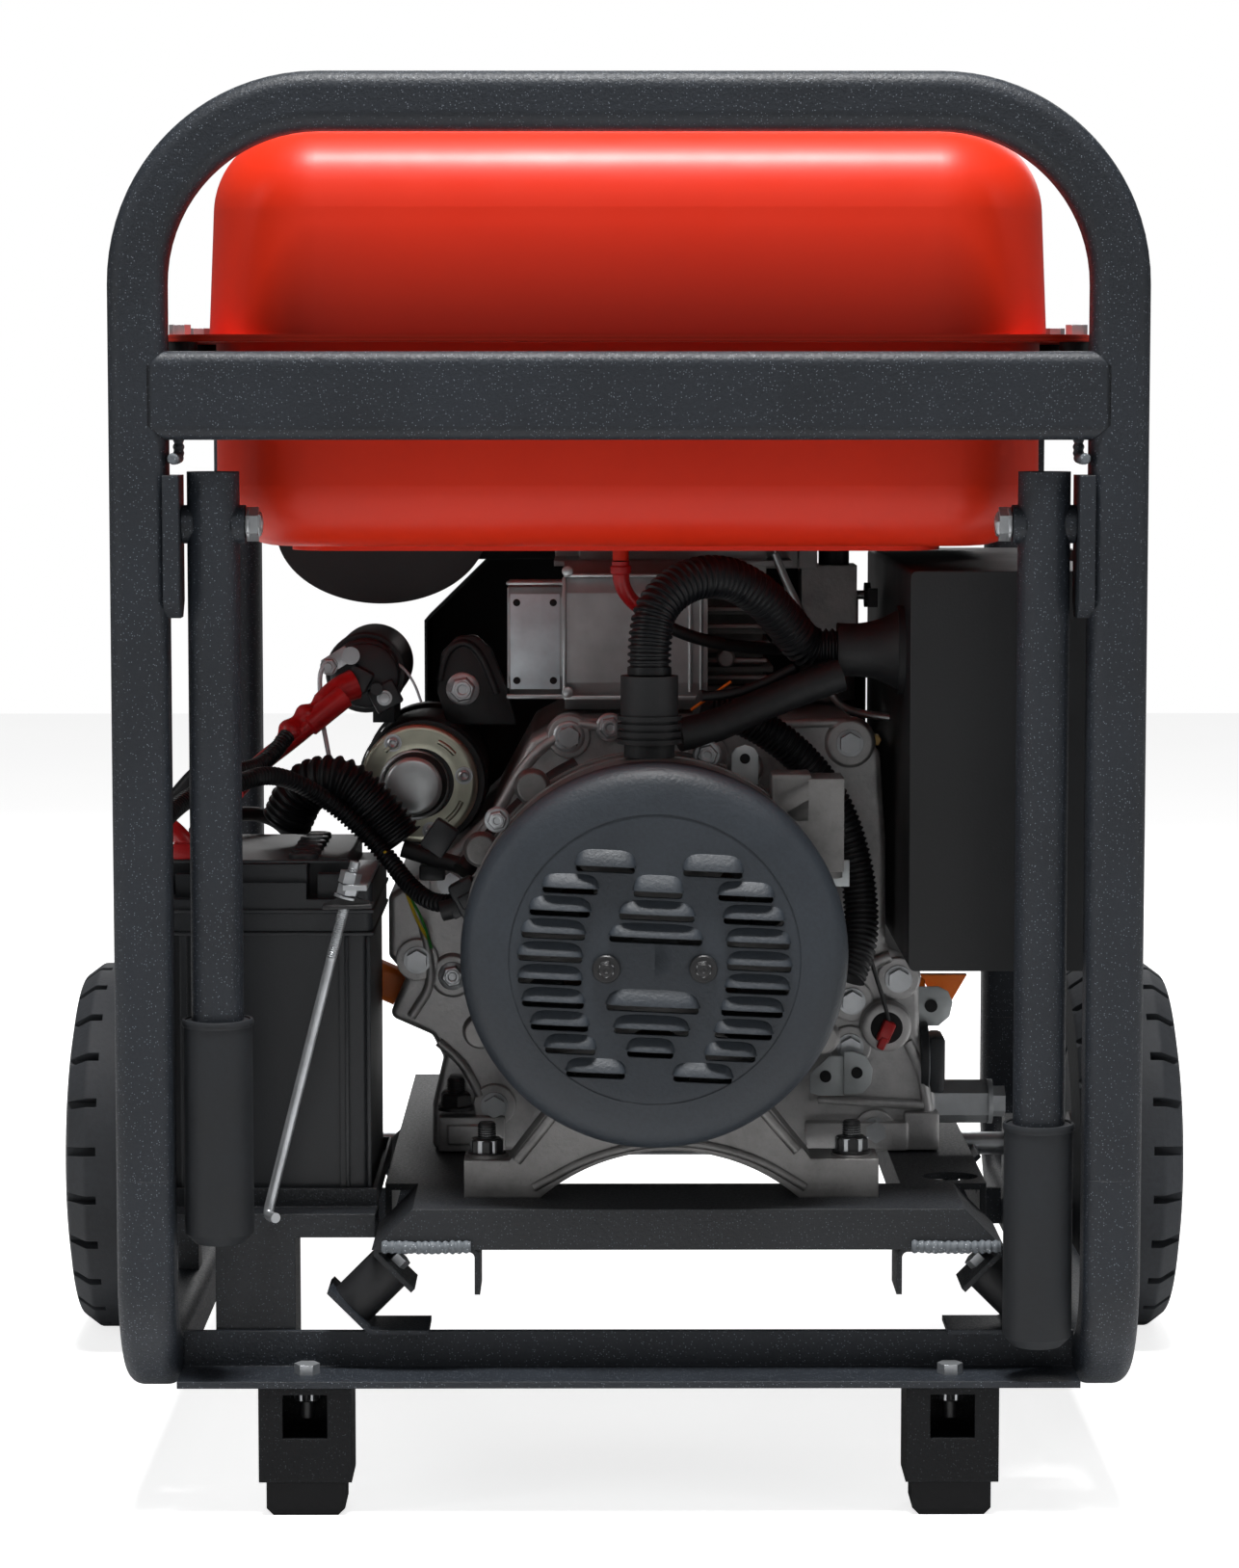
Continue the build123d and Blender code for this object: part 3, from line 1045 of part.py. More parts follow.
conduit_boots.part.label = "conduit_boots"
export_step(conduit_boots.part, "parts/conduit_boots.step")

# Cables and hoses that are held at both ends by the object.
ARCH_ROUTE = (
    (12.5, -250, 485.6), (12.5, -249.5, 505), (16, -244, 526), (34, -233, 541), (57, -220, 543), (78, -207, 532),
    (94, -193, 515), (108, -179, 496), (127, -179, 496),
)
SECOND_ROUTE = ((128, -200, 482), (104, -204, 474), (76, -212, 463), (50, -222, 452), (30, -228, 448))
BRAID_ROUTE = (
    (42, -190, 462), (66, -186, 457), (90, -180, 444), (112, -174, 424), (129, -170, 398), (139, -170, 368),
    (143, -174, 340), (142, -182, 316), (134, -190, 297),
)
LOOM_ROUTE = (
    (-234, -215, 418), (-218, -190, 422), (-200, -174, 415), (-180, -163, 401), (-163, -160, 385),
    (-146, -165, 368), (-133, -178, 352), (-118, -194, 343), (-101, -204, 345),
)
BIG_HOSE_ROUTE = (
    (-140, -148, 376), (-156, -148, 398), (-177, -148, 416), (-200, -142, 410), (-210, -134, 388),
)
LEAD_ROUTE = ((-176, -112, 463), (-190, -118, 452), (-208, -126, 437), (-226, -138, 424), (-240, -156, 408))
FUEL_ROUTE = (
    (-4, -150, 548.6), (-3.5, -149, 530), (14, -138, 514), (36, -132, 502), (64, -122, 495), (90, -100, 492),
    (101, -64, 490), (102, -22, 491), (104, 20, 492), (104, 61.8, 491),
)

with BuildPart() as wiring_conduits:
    hose("arch_conduit", ARCH_ROUTE, 26)
    hose("second_conduit", SECOND_ROUTE, 20)
    hose("braided_loom", BRAID_ROUTE, 20)
    hose("thin_loom", LOOM_ROUTE, 11)
    hose("large_hose", BIG_HOSE_ROUTE, 32)
    hose("starter_lead", LEAD_ROUTE, 15)
wiring_conduits.part.label = "wiring_conduits"
export_step(wiring_conduits.part, "parts/wiring_conduits.step")

with BuildPart() as fuel_hose:
    hose("fuel_hose", FUEL_ROUTE, 8)
fuel_hose.part.label = "fuel_hose"
export_step(fuel_hose.part, "parts/fuel_hose.step")

# ---- wheels -------------------------------------------------------------------------------

for side_name, side in (("left", -1), ("right", 1)):
    wheel_axis = Axis((0, WHEEL_Y, WHEEL_RADIUS), (1, 0, 0))

    with BuildPart() as tyre:
        with BuildSketch(Plane.XY) as tread:
            with BuildLine():
                low_x = side * TYRE_INNER_X
                high_x = side * TYRE_OUTER_X
                inset = side * 8
                FilletPolyline(
                    (low_x + inset, WHEEL_Y + 68),
                    (low_x, WHEEL_Y + 96),
                    (low_x + side * 4, WHEEL_Y + 118),
                    (low_x + side * 16, WHEEL_Y + WHEEL_RADIUS),
                    (high_x - side * 16, WHEEL_Y + WHEEL_RADIUS),
                    (high_x - side * 4, WHEEL_Y + 118),
                    (high_x, WHEEL_Y + 96),
                    (high_x - inset, WHEEL_Y + 68),
                    radius=5,
                )
                Line((high_x - inset, WHEEL_Y + 68), (low_x + inset, WHEEL_Y + 68))
            make_face()
        revolve(tread.sketch.moved(Location((0, 0, WHEEL_RADIUS))), axis=wheel_axis)
        # lateral tread grooves on both shoulders
        for index in range(24):
            angle = math.radians(15 * index)
            for low, high, phase in ((TYRE_INNER_X - 1, TYRE_INNER_X + 24, 0.0), (TYRE_OUTER_X - 24, TYRE_OUTER_X + 1, 0.13)):
                groove_y = WHEEL_Y + 124 * math.cos(angle + phase)
                groove_z = WHEEL_RADIUS + 124 * math.sin(angle + phase)
                with Locations(Location((side * (low + high) / 2, groove_y, groove_z), (math.degrees(angle + phase), 0, 0))):
                    Box(high - low, 16, 6, mode=Mode.SUBTRACT)
    tyre.part.label = f"tyre_{side_name}"
    export_step(tyre.part, f"parts/tyre_{side_name}.step")

    with BuildPart() as rim:
        ring(side * 314, WHEEL_Y, WHEEL_RADIUS, (side, 0, 0), 68, 62, 56)
        ring(side * 312, WHEEL_Y, WHEEL_RADIUS, (side, 0, 0), 22, AXLE_RADIUS + RUNNING_FIT, 62)
        ring(side * 338, WHEEL_Y, WHEEL_RADIUS, (side, 0, 0), 64, 20, 4)
        for index in range(5):
            angle = math.radians(72 * index + 18)
            hole_y = WHEEL_Y + 42 * math.cos(angle)
            hole_z = WHEEL_RADIUS + 42 * math.sin(angle)
            disc(side * 330, hole_y, hole_z, (side, 0, 0), 13, 20, Mode.SUBTRACT)
    rim.part.label = f"rim_{side_name}"
    export_step(rim.part, f"parts/rim_{side_name}.step")

with BuildPart() as axle:
    disc(-378, WHEEL_Y, WHEEL_RADIUS, (1, 0, 0), AXLE_RADIUS, 756)
    for side in (-1, 1):
        disc(side * 296, WHEEL_Y, WHEEL_RADIUS, (side, 0, 0), 14, 15.7)
        disc(side * 374.4, WHEEL_Y, WHEEL_RADIUS, (side, 0, 0), 14, 3)
axle.part.label = "axle"
export_step(axle.part, "parts/axle.step")

# ---- folding lift handles -----------------------------------------------------------------

for side_name, side in (("left", -1), ("right", 1)):
    grip_bottom = GRIP_BOTTOM[side_name]
    grip_top = grip_bottom + GRIP_LENGTH
    pivot_x = side * PIVOT_X

    with BuildPart() as handle:
        ring(pivot_x, PIVOT_Y, grip_bottom + 6, (0, 0, 1), HANDLE_RADIUS, HANDLE_RADIUS - 2, HANDLE_TOP - grip_bottom - 6)
        # saddle washers welded on both sides of the tube
        disc(pivot_x + side * 11, PIVOT_Y, PIVOT_Z, (side, 0, 0), 11, 6.6)
        disc(pivot_x - side * 11, PIVOT_Y, PIVOT_Z, (-side, 0, 0), 11, 7.4)
        disc(pivot_x, PIVOT_Y, grip_bottom, (0, 0, 1), HANDLE_RADIUS - 2, HANDLE_TOP - grip_bottom, Mode.SUBTRACT)
        disc(pivot_x - side * 30, PIVOT_Y, PIVOT_Z, (side, 0, 0), PIVOT_BOLT_RADIUS + RUNNING_FIT, 60, Mode.SUBTRACT)
    handle.part.label = f"handle_{side_name}"
    export_step(handle.part, f"parts/handle_{side_name}.step")

    with BuildPart() as grip:
        disc(pivot_x, PIVOT_Y, grip_bottom, (0, 0, 1), GRIP_RADIUS, GRIP_LENGTH)
        fillet(grip.faces().sort_by(Axis.Z)[-1].edges(), 3)
        chamfer(grip.faces().sort_by(Axis.Z)[0].edges(), 6)
        disc(pivot_x, PIVOT_Y, grip_bottom + 6, (0, 0, 1), HANDLE_RADIUS, GRIP_LENGTH, Mode.SUBTRACT)
    grip.part.label = f"grip_{side_name}"
    export_step(grip.part, f"parts/grip_{side_name}.step")
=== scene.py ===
import math

import bmesh
import bpy
from mathutils import Matrix, Vector, noise


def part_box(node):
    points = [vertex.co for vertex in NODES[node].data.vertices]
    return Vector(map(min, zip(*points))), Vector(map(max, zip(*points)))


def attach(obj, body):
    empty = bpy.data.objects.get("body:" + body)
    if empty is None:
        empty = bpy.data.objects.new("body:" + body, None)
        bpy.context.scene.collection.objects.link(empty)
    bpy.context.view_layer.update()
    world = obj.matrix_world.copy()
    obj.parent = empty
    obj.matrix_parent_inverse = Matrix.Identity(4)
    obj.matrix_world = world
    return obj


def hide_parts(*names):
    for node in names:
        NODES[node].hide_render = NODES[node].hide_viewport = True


# Looks of the portable generator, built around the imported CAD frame. Metres, +Z up, -Y is the
# alternator end, +X the control panel side.

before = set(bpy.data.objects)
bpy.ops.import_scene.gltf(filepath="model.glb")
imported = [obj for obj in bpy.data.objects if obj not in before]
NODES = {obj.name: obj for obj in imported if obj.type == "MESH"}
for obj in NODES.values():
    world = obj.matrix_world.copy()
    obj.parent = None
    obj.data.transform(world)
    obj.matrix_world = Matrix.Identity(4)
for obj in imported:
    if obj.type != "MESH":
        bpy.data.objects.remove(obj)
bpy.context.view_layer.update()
MM = 0.001
FRONT, RIGHT, UP = (0, -1, 0), (1, 0, 0), (0, 0, 1)


def turn_y(degrees):
    """Matrix that turns a block about the Y axis."""
    return Matrix.Rotation(math.radians(degrees), 4, "Y")


def grey(level):
    return (level, level, level)


# ---- materials ----------------------------------------------------------------------------


class Shader:
    """Small helper that wires procedural nodes to one Principled shader."""

    def __init__(self, name):
        self.material = bpy.data.materials.new(name)
        self.material.use_nodes = True
        self.tree = self.material.node_tree
        self.nodes = self.tree.nodes
        self.shader = self.nodes["Principled BSDF"]
        self.coordinates = self.node("ShaderNodeTexCoord").outputs["Object"]

    def node(self, kind, **values):
        made = self.nodes.new(kind)
        for key, value in values.items():
            setattr(made, key, value)
        return made

    def link(self, source, target):
        self.tree.links.new(source, target)

    def noise(self, scale, detail=3.0, roughness=0.55, stretch=None):
        made = self.node("ShaderNodeTexNoise")
        made.inputs["Scale"].default_value = scale
        made.inputs["Detail"].default_value = detail
        made.inputs["Roughness"].default_value = roughness
        source = self.coordinates
        if stretch:
            mapping = self.node("ShaderNodeMapping")
            mapping.inputs["Scale"].default_value = stretch
            self.link(source, mapping.inputs["Vector"])
            source = mapping.outputs["Vector"]
        self.link(source, made.inputs["Vector"])
        return made.outputs["Fac"]

    def ramp(self, factor, stops):
        made = self.node("ShaderNodeValToRGB")
        elements = made.color_ramp.elements
        while len(elements) < len(stops):
            elements.new(0.5)
        for element, (position, color) in zip(elements, stops):
            element.position = position
            element.color = (*color, 1.0) if len(color) == 3 else color
        self.link(factor, made.inputs["Fac"])
        return made.outputs["Color"]

    def span(self, factor, low, high, from_low=0.3, from_high=0.7):
        made = self.node("ShaderNodeMapRange")
        made.inputs["From Min"].default_value = from_low
        made.inputs["From Max"].default_value = from_high
        made.inputs["To Min"].default_value = low
        made.inputs["To Max"].default_value = high
        self.link(factor, made.inputs["Value"])
        return made.outputs["Result"]

    def mix(self, factor, first, second, kind="MIX"):
        made = self.node("ShaderNodeMix", data_type="RGBA", blend_type=kind)
        if isinstance(factor, float):
            made.inputs["Factor"].default_value = factor
        else:
            self.link(factor, made.inputs["Factor"])
        for value, socket in ((first, made.inputs[6]), (second, made.inputs[7])):
            if isinstance(value, tuple):
                socket.default_value = (*value, 1.0)
            else:
                self.link(value, socket)
        return made.outputs[2]

    def maths(self, operation, first, second):
        """Result of a maths node; second is a socket or a number."""
        made = self.node("ShaderNodeMath", operation=operation)
        self.link(first, made.inputs[0])
        if isinstance(second, float):
            made.inputs[1].default_value = second
        else:
            self.link(second, made.inputs[1])
        return made.outputs[0]

    def bump(self, height, distance, strength=1.0, normal=None):
        made = self.node("ShaderNodeBump")
        made.inputs["Distance"].default_value = distance
        made.inputs["Strength"].default_value = strength
        self.link(height, made.inputs["Height"])
        if normal:
            self.link(normal, made.inputs["Normal"])
        return made.outputs["Normal"]

    def bevel(self, radius, samples=4):
        made = self.node("ShaderNodeBevel", samples=samples)
        made.inputs["Radius"].default_value = radius
        return made.outputs["Normal"]

    def edge_mask(self, bevel_normal, low=0.05, high=0.35):
        """White where the rounded normal leaves the true one, which is along sharp edges."""
        geometry = self.node("ShaderNodeNewGeometry")
        dot = self.node("ShaderNodeVectorMath", operation="DOT_PRODUCT")
        self.link(bevel_normal, dot.inputs[0])
        self.link(geometry.outputs["Normal"], dot.inputs[1])
        return self.span(dot.outputs["Value"], 1.0, 0.0, 1.0 - high, 1.0 - low)

    def finish(self, base, roughness, normal, **values):
        """Feed the shader's three textured inputs and set its plain ones."""
        for name, source in (("Base Color", base), ("Roughness", roughness), ("Normal", normal)):
            self.link(source, self.shader.inputs[name])
        for key, value in values.items():
            self.shader.inputs[key.replace("_", " ")].default_value = value
        return self.material


def tinted(color, factor):
    return tuple(min(1.0, channel * factor) for channel in color)


GLOSS_SPREAD = 0.06  # how far a surface's roughness strays to either side


def surface(
    name, color, rough, metal=0.0, vary=0.2, vary_scale=9.0, grain=500.0, grain_depth=0.0001,
    edge=0.0, edge_tint=1.6, specular=0.5,
):
    """One finish: cloudy colour variation, a fine grain, uneven gloss and worn or bright edges."""
    s = Shader(name)
    cloud = s.noise(vary_scale, 4.0, 0.6)
    base = s.ramp(cloud, ((0.3, tinted(color, 1 - vary)), (0.7, tinted(color, 1 + vary))))
    fine = s.noise(grain, 3.0, 0.6)
    base = s.mix(0.25, base, s.ramp(fine, ((0.35, grey(0.35)), (0.65, grey(0.72)))), "SOFT_LIGHT")
    normal = None
    if edge:
        normal = s.bevel(edge)
        rubbed = s.span(s.noise(140.0, 4.0, 0.7), 0.1, 1.0)
        base = s.mix(s.maths("MULTIPLY", s.edge_mask(normal), rubbed), base, tinted(color, edge_tint))
    gloss = s.span(cloud, rough - GLOSS_SPREAD, rough + GLOSS_SPREAD)
    return s.finish(
        base, gloss, s.bump(fine, grain_depth, 1.0, normal), Metallic=metal, Specular_IOR_Level=specular
    )


FLAKE_CELLS = 640.0  # cells per metre
FLAKE_RADIUS = 0.2  # of a cell
FLAKE_LEAST = 0.35  # cells with a lower random value have no flake


def powder_coat(name, color, speck_color, edge=0.0012, specular=0.45):
    """Dark textured paint with tiny bright flakes."""
    s = Shader(name)
    cloud = s.noise(14.0, 4.0)
    base = s.ramp(cloud, ((0.3, tinted(color, 0.82)), (0.7, tinted(color, 1.2))))
    flake = s.node("ShaderNodeTexVoronoi", feature="F1")
    flake.inputs["Scale"].default_value = FLAKE_CELLS
    s.link(s.coordinates, flake.inputs["Vector"])
    small = s.maths("LESS_THAN", flake.outputs["Distance"], FLAKE_RADIUS)
    split = s.node("ShaderNodeSeparateColor")
    s.link(flake.outputs["Color"], split.inputs["Color"])
    chosen = s.maths("GREATER_THAN", split.outputs["Red"], FLAKE_LEAST)
    base = s.mix(s.maths("MULTIPLY", small, chosen), base, speck_color)
    texture = s.noise(480.0, 3.0, 0.65)
    normal = s.bump(texture, 0.0005, 0.9, s.bevel(edge))
    return s.finish(base, s.span(texture, 0.42, 0.62), normal, Specular_IOR_Level=specular)


def enamel(name, color, shade):
    """Gloss spray enamel under a clear coat, with a faint orange peel."""
    s = Shader(name)
    cloud = s.noise(3.5, 3.0)
    base = s.ramp(cloud, ((0.25, shade), (0.75, color)))
    peel = s.bump(s.noise(130.0, 2.0, 0.5), 0.0002, 0.25, s.bevel(0.0015))
    gloss = s.span(s.noise(25.0), 0.42, 0.52)
    return s.finish(base, gloss, peel, Coat_Weight=0.25, Coat_Roughness=0.3, Specular_IOR_Level=0.2)


def casting(name, color, rough=0.5, metal=0.75):
    """Die-cast aluminium: mottled skin, pits, dark hollows and rubbed bright edges."""
    s = Shader(name)
    large = s.noise(28.0, 5.0, 0.65)
    base = s.ramp(large, ((0.28, tinted(color, 0.62)), (0.5, color), (0.75, tinted(color, 1.3))))
    pits = s.noise(420.0, 4.0, 0.7)
    base = s.mix(s.span(pits, 0.0, 0.35, 0.6, 0.75), base, tinted(color, 0.35))
    normal = s.bevel(0.0018)
    base = s.mix(s.edge_mask(normal), base, tinted(color, 1.7))
    gloss = s.span(large, rough - 0.1, rough + 0.1)
    lumps = s.bump(large, 0.0012, 0.35, normal)
    return s.finish(base, gloss, s.bump(pits, 0.0003, 0.6, lumps), Metallic=metal)


def brushed(name, color, rough, stretch=(400.0, 400.0, 30.0), edge=0.0003, metal=1.0):
    """Plated or polished steel with drawn lines and cloudy plating."""
    s = Shader(name)
    cloud = s.noise(35.0, 4.0)
    base = s.ramp(cloud, ((0.3, tinted(color, 0.78)), (0.7, tinted(color, 1.12))))
    lines = s.noise(1.0, 4.0, 0.7, stretch=stretch)
    gloss = s.span(lines, rough - 0.04, rough + 0.07)
    return s.finish(base, gloss, s.bump(lines, 0.00001, 0.2, s.bevel(edge)), Metallic=metal)


PAINT = powder_coat("powder_coat", (0.0145, 0.0185, 0.025), (0.15, 0.17, 0.20))
# darker copy of the frame coat: painted shade on the engine cradle and battery tray
PAINT_SHADED = powder_coat("powder_coat_painted_shade", (0.011, 0.013, 0.016), (0.08, 0.09, 0.11))
# darker, less glossy copy of the frame coat: painted shade on the foot brackets by the floor
FOOT_PAINT_SHADED = powder_coat("foot_paint_painted_shade", (0.004, 0.0045, 0.0055), (0.04, 0.045, 0.05), specular=0.2)
RED = enamel("red_enamel", (0.74, 0.030, 0.006), (0.66, 0.022, 0.005))
CAST = casting("cast_aluminium", (0.245, 0.24, 0.237), 0.46, 0.7)
# lighter copy of the cast aluminium: painted light on the crankcase, carburettor, head, case ribs and fin edges
CAST_LIT = casting("cast_aluminium_painted_light", (0.43, 0.425, 0.425), 0.40, 0.6)
# darker copy of the cast aluminium: painted shade on the cylinder block and fuel valve body
CAST_SHADED = casting("cast_aluminium_painted_shade", (0.22, 0.215, 0.21), 0.5, 0.6)
ZINC = brushed("zinc_plate", (0.52, 0.54, 0.56), 0.34, metal=0.75)
ZINC_DULL = brushed("zinc_sheet", (0.50, 0.53, 0.54), 0.40, stretch=(60.0, 60.0, 300.0), metal=0.4)
BLACK_STEEL = surface("black_steel", (0.012, 0.012, 0.013), 0.42, edge=0.001, edge_tint=3.0)
BLACK_SHEET = surface("black_sheet", (0.010, 0.011, 0.0125), 0.5, grain=700.0, edge=0.0012, edge_tint=3.0)
PANEL = surface(
    "panel_paint", (0.040, 0.043, 0.047), 0.46, grain=700.0, grain_depth=0.0002, edge=0.001, edge_tint=2.0,
)
RUBBER = surface("black_rubber", (0.009, 0.0095, 0.011), 0.56, grain=350.0, grain_depth=0.0002)
# darker, less glossy copy of the black rubber: painted shade on the foot rubbers by the floor
FOOT_RUBBER_SHADED = surface("foot_rubber", (0.004, 0.0042, 0.005), 0.66, grain=350.0, grain_depth=0.0002, specular=0.25)
GRIP = surface(
    "grip_rubber", (0.009, 0.011, 0.014), 0.66, vary=0.3, vary_scale=22.0, grain=300.0, grain_depth=0.0002,
)
TYRE = surface("tyre_rubber", (0.026, 0.029, 0.034), 0.7, vary=0.3, grain=260.0, grain_depth=0.0003, edge=0.001)
CONDUIT = surface("conduit_plastic", (0.006, 0.0065, 0.008), 0.40, vary=0.1, grain=900.0, specular=0.35)
BLACK_PLASTIC = surface("black_plastic", (0.016, 0.018, 0.021), 0.45, grain=900.0, edge=0.0012, edge_tint=2.5)
SLATE = surface(
    "slate_plastic", (0.021, 0.027, 0.035), 0.52, vary=0.14, vary_scale=16.0, grain=420.0, grain_depth=0.0003,
    edge=0.001, edge_tint=1.5,
)
ORANGE = surface("orange_plastic", (1.0, 0.19, 0.012), 0.35, vary=0.1, edge=0.001, edge_tint=1.3)
RED_RUBBER = surface("red_rubber", (0.45, 0.008, 0.010), 0.35, vary=0.2, vary_scale=60.0, grain=400.0)
WHITE_PLASTIC = surface("white_plastic", (0.66, 0.66, 0.62), 0.35, vary=0.05)
RED_PLASTIC = surface("red_plastic", (0.60, 0.015, 0.012), 0.32, vary=0.1)
RIM_PAINT = surface("rim_paint", (0.42, 0.43, 0.44), 0.36, vary=0.08, edge=0.001)
# rotor copper darkened almost to black: painted shade for the winding seen through the cover slots
COPPER_SHADED = surface("copper_winding", (0.055, 0.020, 0.010), 0.45, 0.6)
LAMINATIONS = surface("laminations", (0.10, 0.10, 0.105), 0.5, 0.6, grain=900.0)
BRASS = brushed("brass", (0.62, 0.42, 0.16), 0.3)
YELLOW_ZINC = brushed("yellow_zinc", (0.52, 0.52, 0.42), 0.34, stretch=(90.0, 90.0, 90.0))
STEEL_BRIGHT = brushed("bright_steel", (0.60, 0.63, 0.64), 0.32, stretch=(40.0, 40.0, 40.0), metal=0.8)
WIRE_YELLOW = surface("yellow_wire", (0.65, 0.45, 0.02), 0.4)
WIRE_GREEN = surface("green_wire", (0.03, 0.25, 0.04), 0.4)
# near-black fill for holes and the sensor socket: painted shade
RECESS_SHADE = surface("painted_recess_shade", (0.004, 0.004, 0.005), 0.8, grain=300.0)

NODE_MATERIAL = {
    PAINT: ("front_hoop", "rear_hoop", "base_rails", "tank_support", "base_angles", "handle_left", "handle_right"),
    # engine cradle and battery tray in the painted-shade copy of the frame coat
    PAINT_SHADED: ("engine_cradle", "battery_tray"),
    # foot brackets in the painted-shade copy of the frame coat
    FOOT_PAINT_SHADED: ("foot_brackets",),
    RED: ("tank_lower_shell", "tank_upper_shell"),
    CAST: ("end_bell", "flywheel"),
    # the painted-light and painted-shade copies of the cast aluminium
    CAST_LIT: ("crankcase", "crankcase_cover", "carburettor", "cylinder_head"),
    CAST_SHADED: ("cylinder_block", "fuel_valve_body"),
    ZINC: ("frame_bolts", "engine_bolts", "axle", "crankshaft"),
    ZINC_DULL: ("heat_shield",),
    BLACK_STEEL: ("muffler", "valve_cover", "recoil_starter"),
    BLACK_SHEET: ("control_box", "fan_shroud", "starter_motor"),
    PANEL: ("control_panel",),
    # foot rubbers in the painted-shade copy of the black rubber
    FOOT_RUBBER_SHADED: ("foot_rubbers",),
    RUBBER: ("rubber_isolators", "conduit_boots"),
    GRIP: ("grip_left", "grip_right"),
    TYRE: ("tyre_left", "tyre_right"),
    BLACK_PLASTIC: (
        "battery_case", "battery_lid", "fuel_cap", "fuel_gauge", "fuel_valve_lever", "air_cleaner", "choke_lever",
        "recoil_grip", "starter_solenoid", "outlets", "main_breaker", "wiring_conduits",
    ),
    SLATE: ("alternator_cover",),
    ORANGE: ("dipsticks",),
    RED_RUBBER: ("fuel_hose",),
    RED_PLASTIC: ("engine_switch",),
    WHITE_PLASTIC: ("reset_button",),
    RIM_PAINT: ("rim_left", "rim_right"),
    # rotor in the darkened copper: painted shade behind the slots
    COPPER_SHADED: ("rotor",),
    LAMINATIONS: ("stator",),
}
for finish, names in NODE_MATERIAL.items():
    for name in names:
        NODES[name].data.materials.clear()
        NODES[name].data.materials.append(finish)


# ---- mesh pieces --------------------------------------------------------------------------


def frame_for(axis):
    """Two unit vectors that make a right-handed frame with the axis."""
    w = Vector(axis).normalized()
    u = w.cross(Vector((0, 0, 1)) if abs(w.z) < 0.9 else Vector((1, 0, 0))).normalized()
    return u, w.cross(u), w


def smooth_path(points, rounds=4):
    """Route with its corners cut again and again, so that it lies like tangent arcs."""
    path = [Vector(point) * MM for point in points]
    for _ in range(rounds):
        cut = [path[0]]
        for a, b in zip(path, path[1:]):
            cut.extend((a.lerp(b, 0.25), a.lerp(b, 0.75)))
        cut.append(path[-1])
        path = cut
    return path


def resample(path, step):
    """Points a constant distance apart along a path, with their distance from its start."""
    total = sum((b - a).length for a, b in zip(path, path[1:]))
    count = max(2, round(total / step))
    wanted = [total * index / count for index in range(count + 1)]
    found, run, segment = [], 0.0, 0
    for distance in wanted:
        while segment < len(path) - 2 and run + (path[segment + 1] - path[segment]).length < distance:
            run += (path[segment + 1] - path[segment]).length
            segment += 1
        a, b = path[segment], path[segment + 1]
        share = (distance - run) / max((b - a).length, 1e-9)
        found.append(a.lerp(b, min(max(share, 0.0), 1.0)))
    return found, wanted


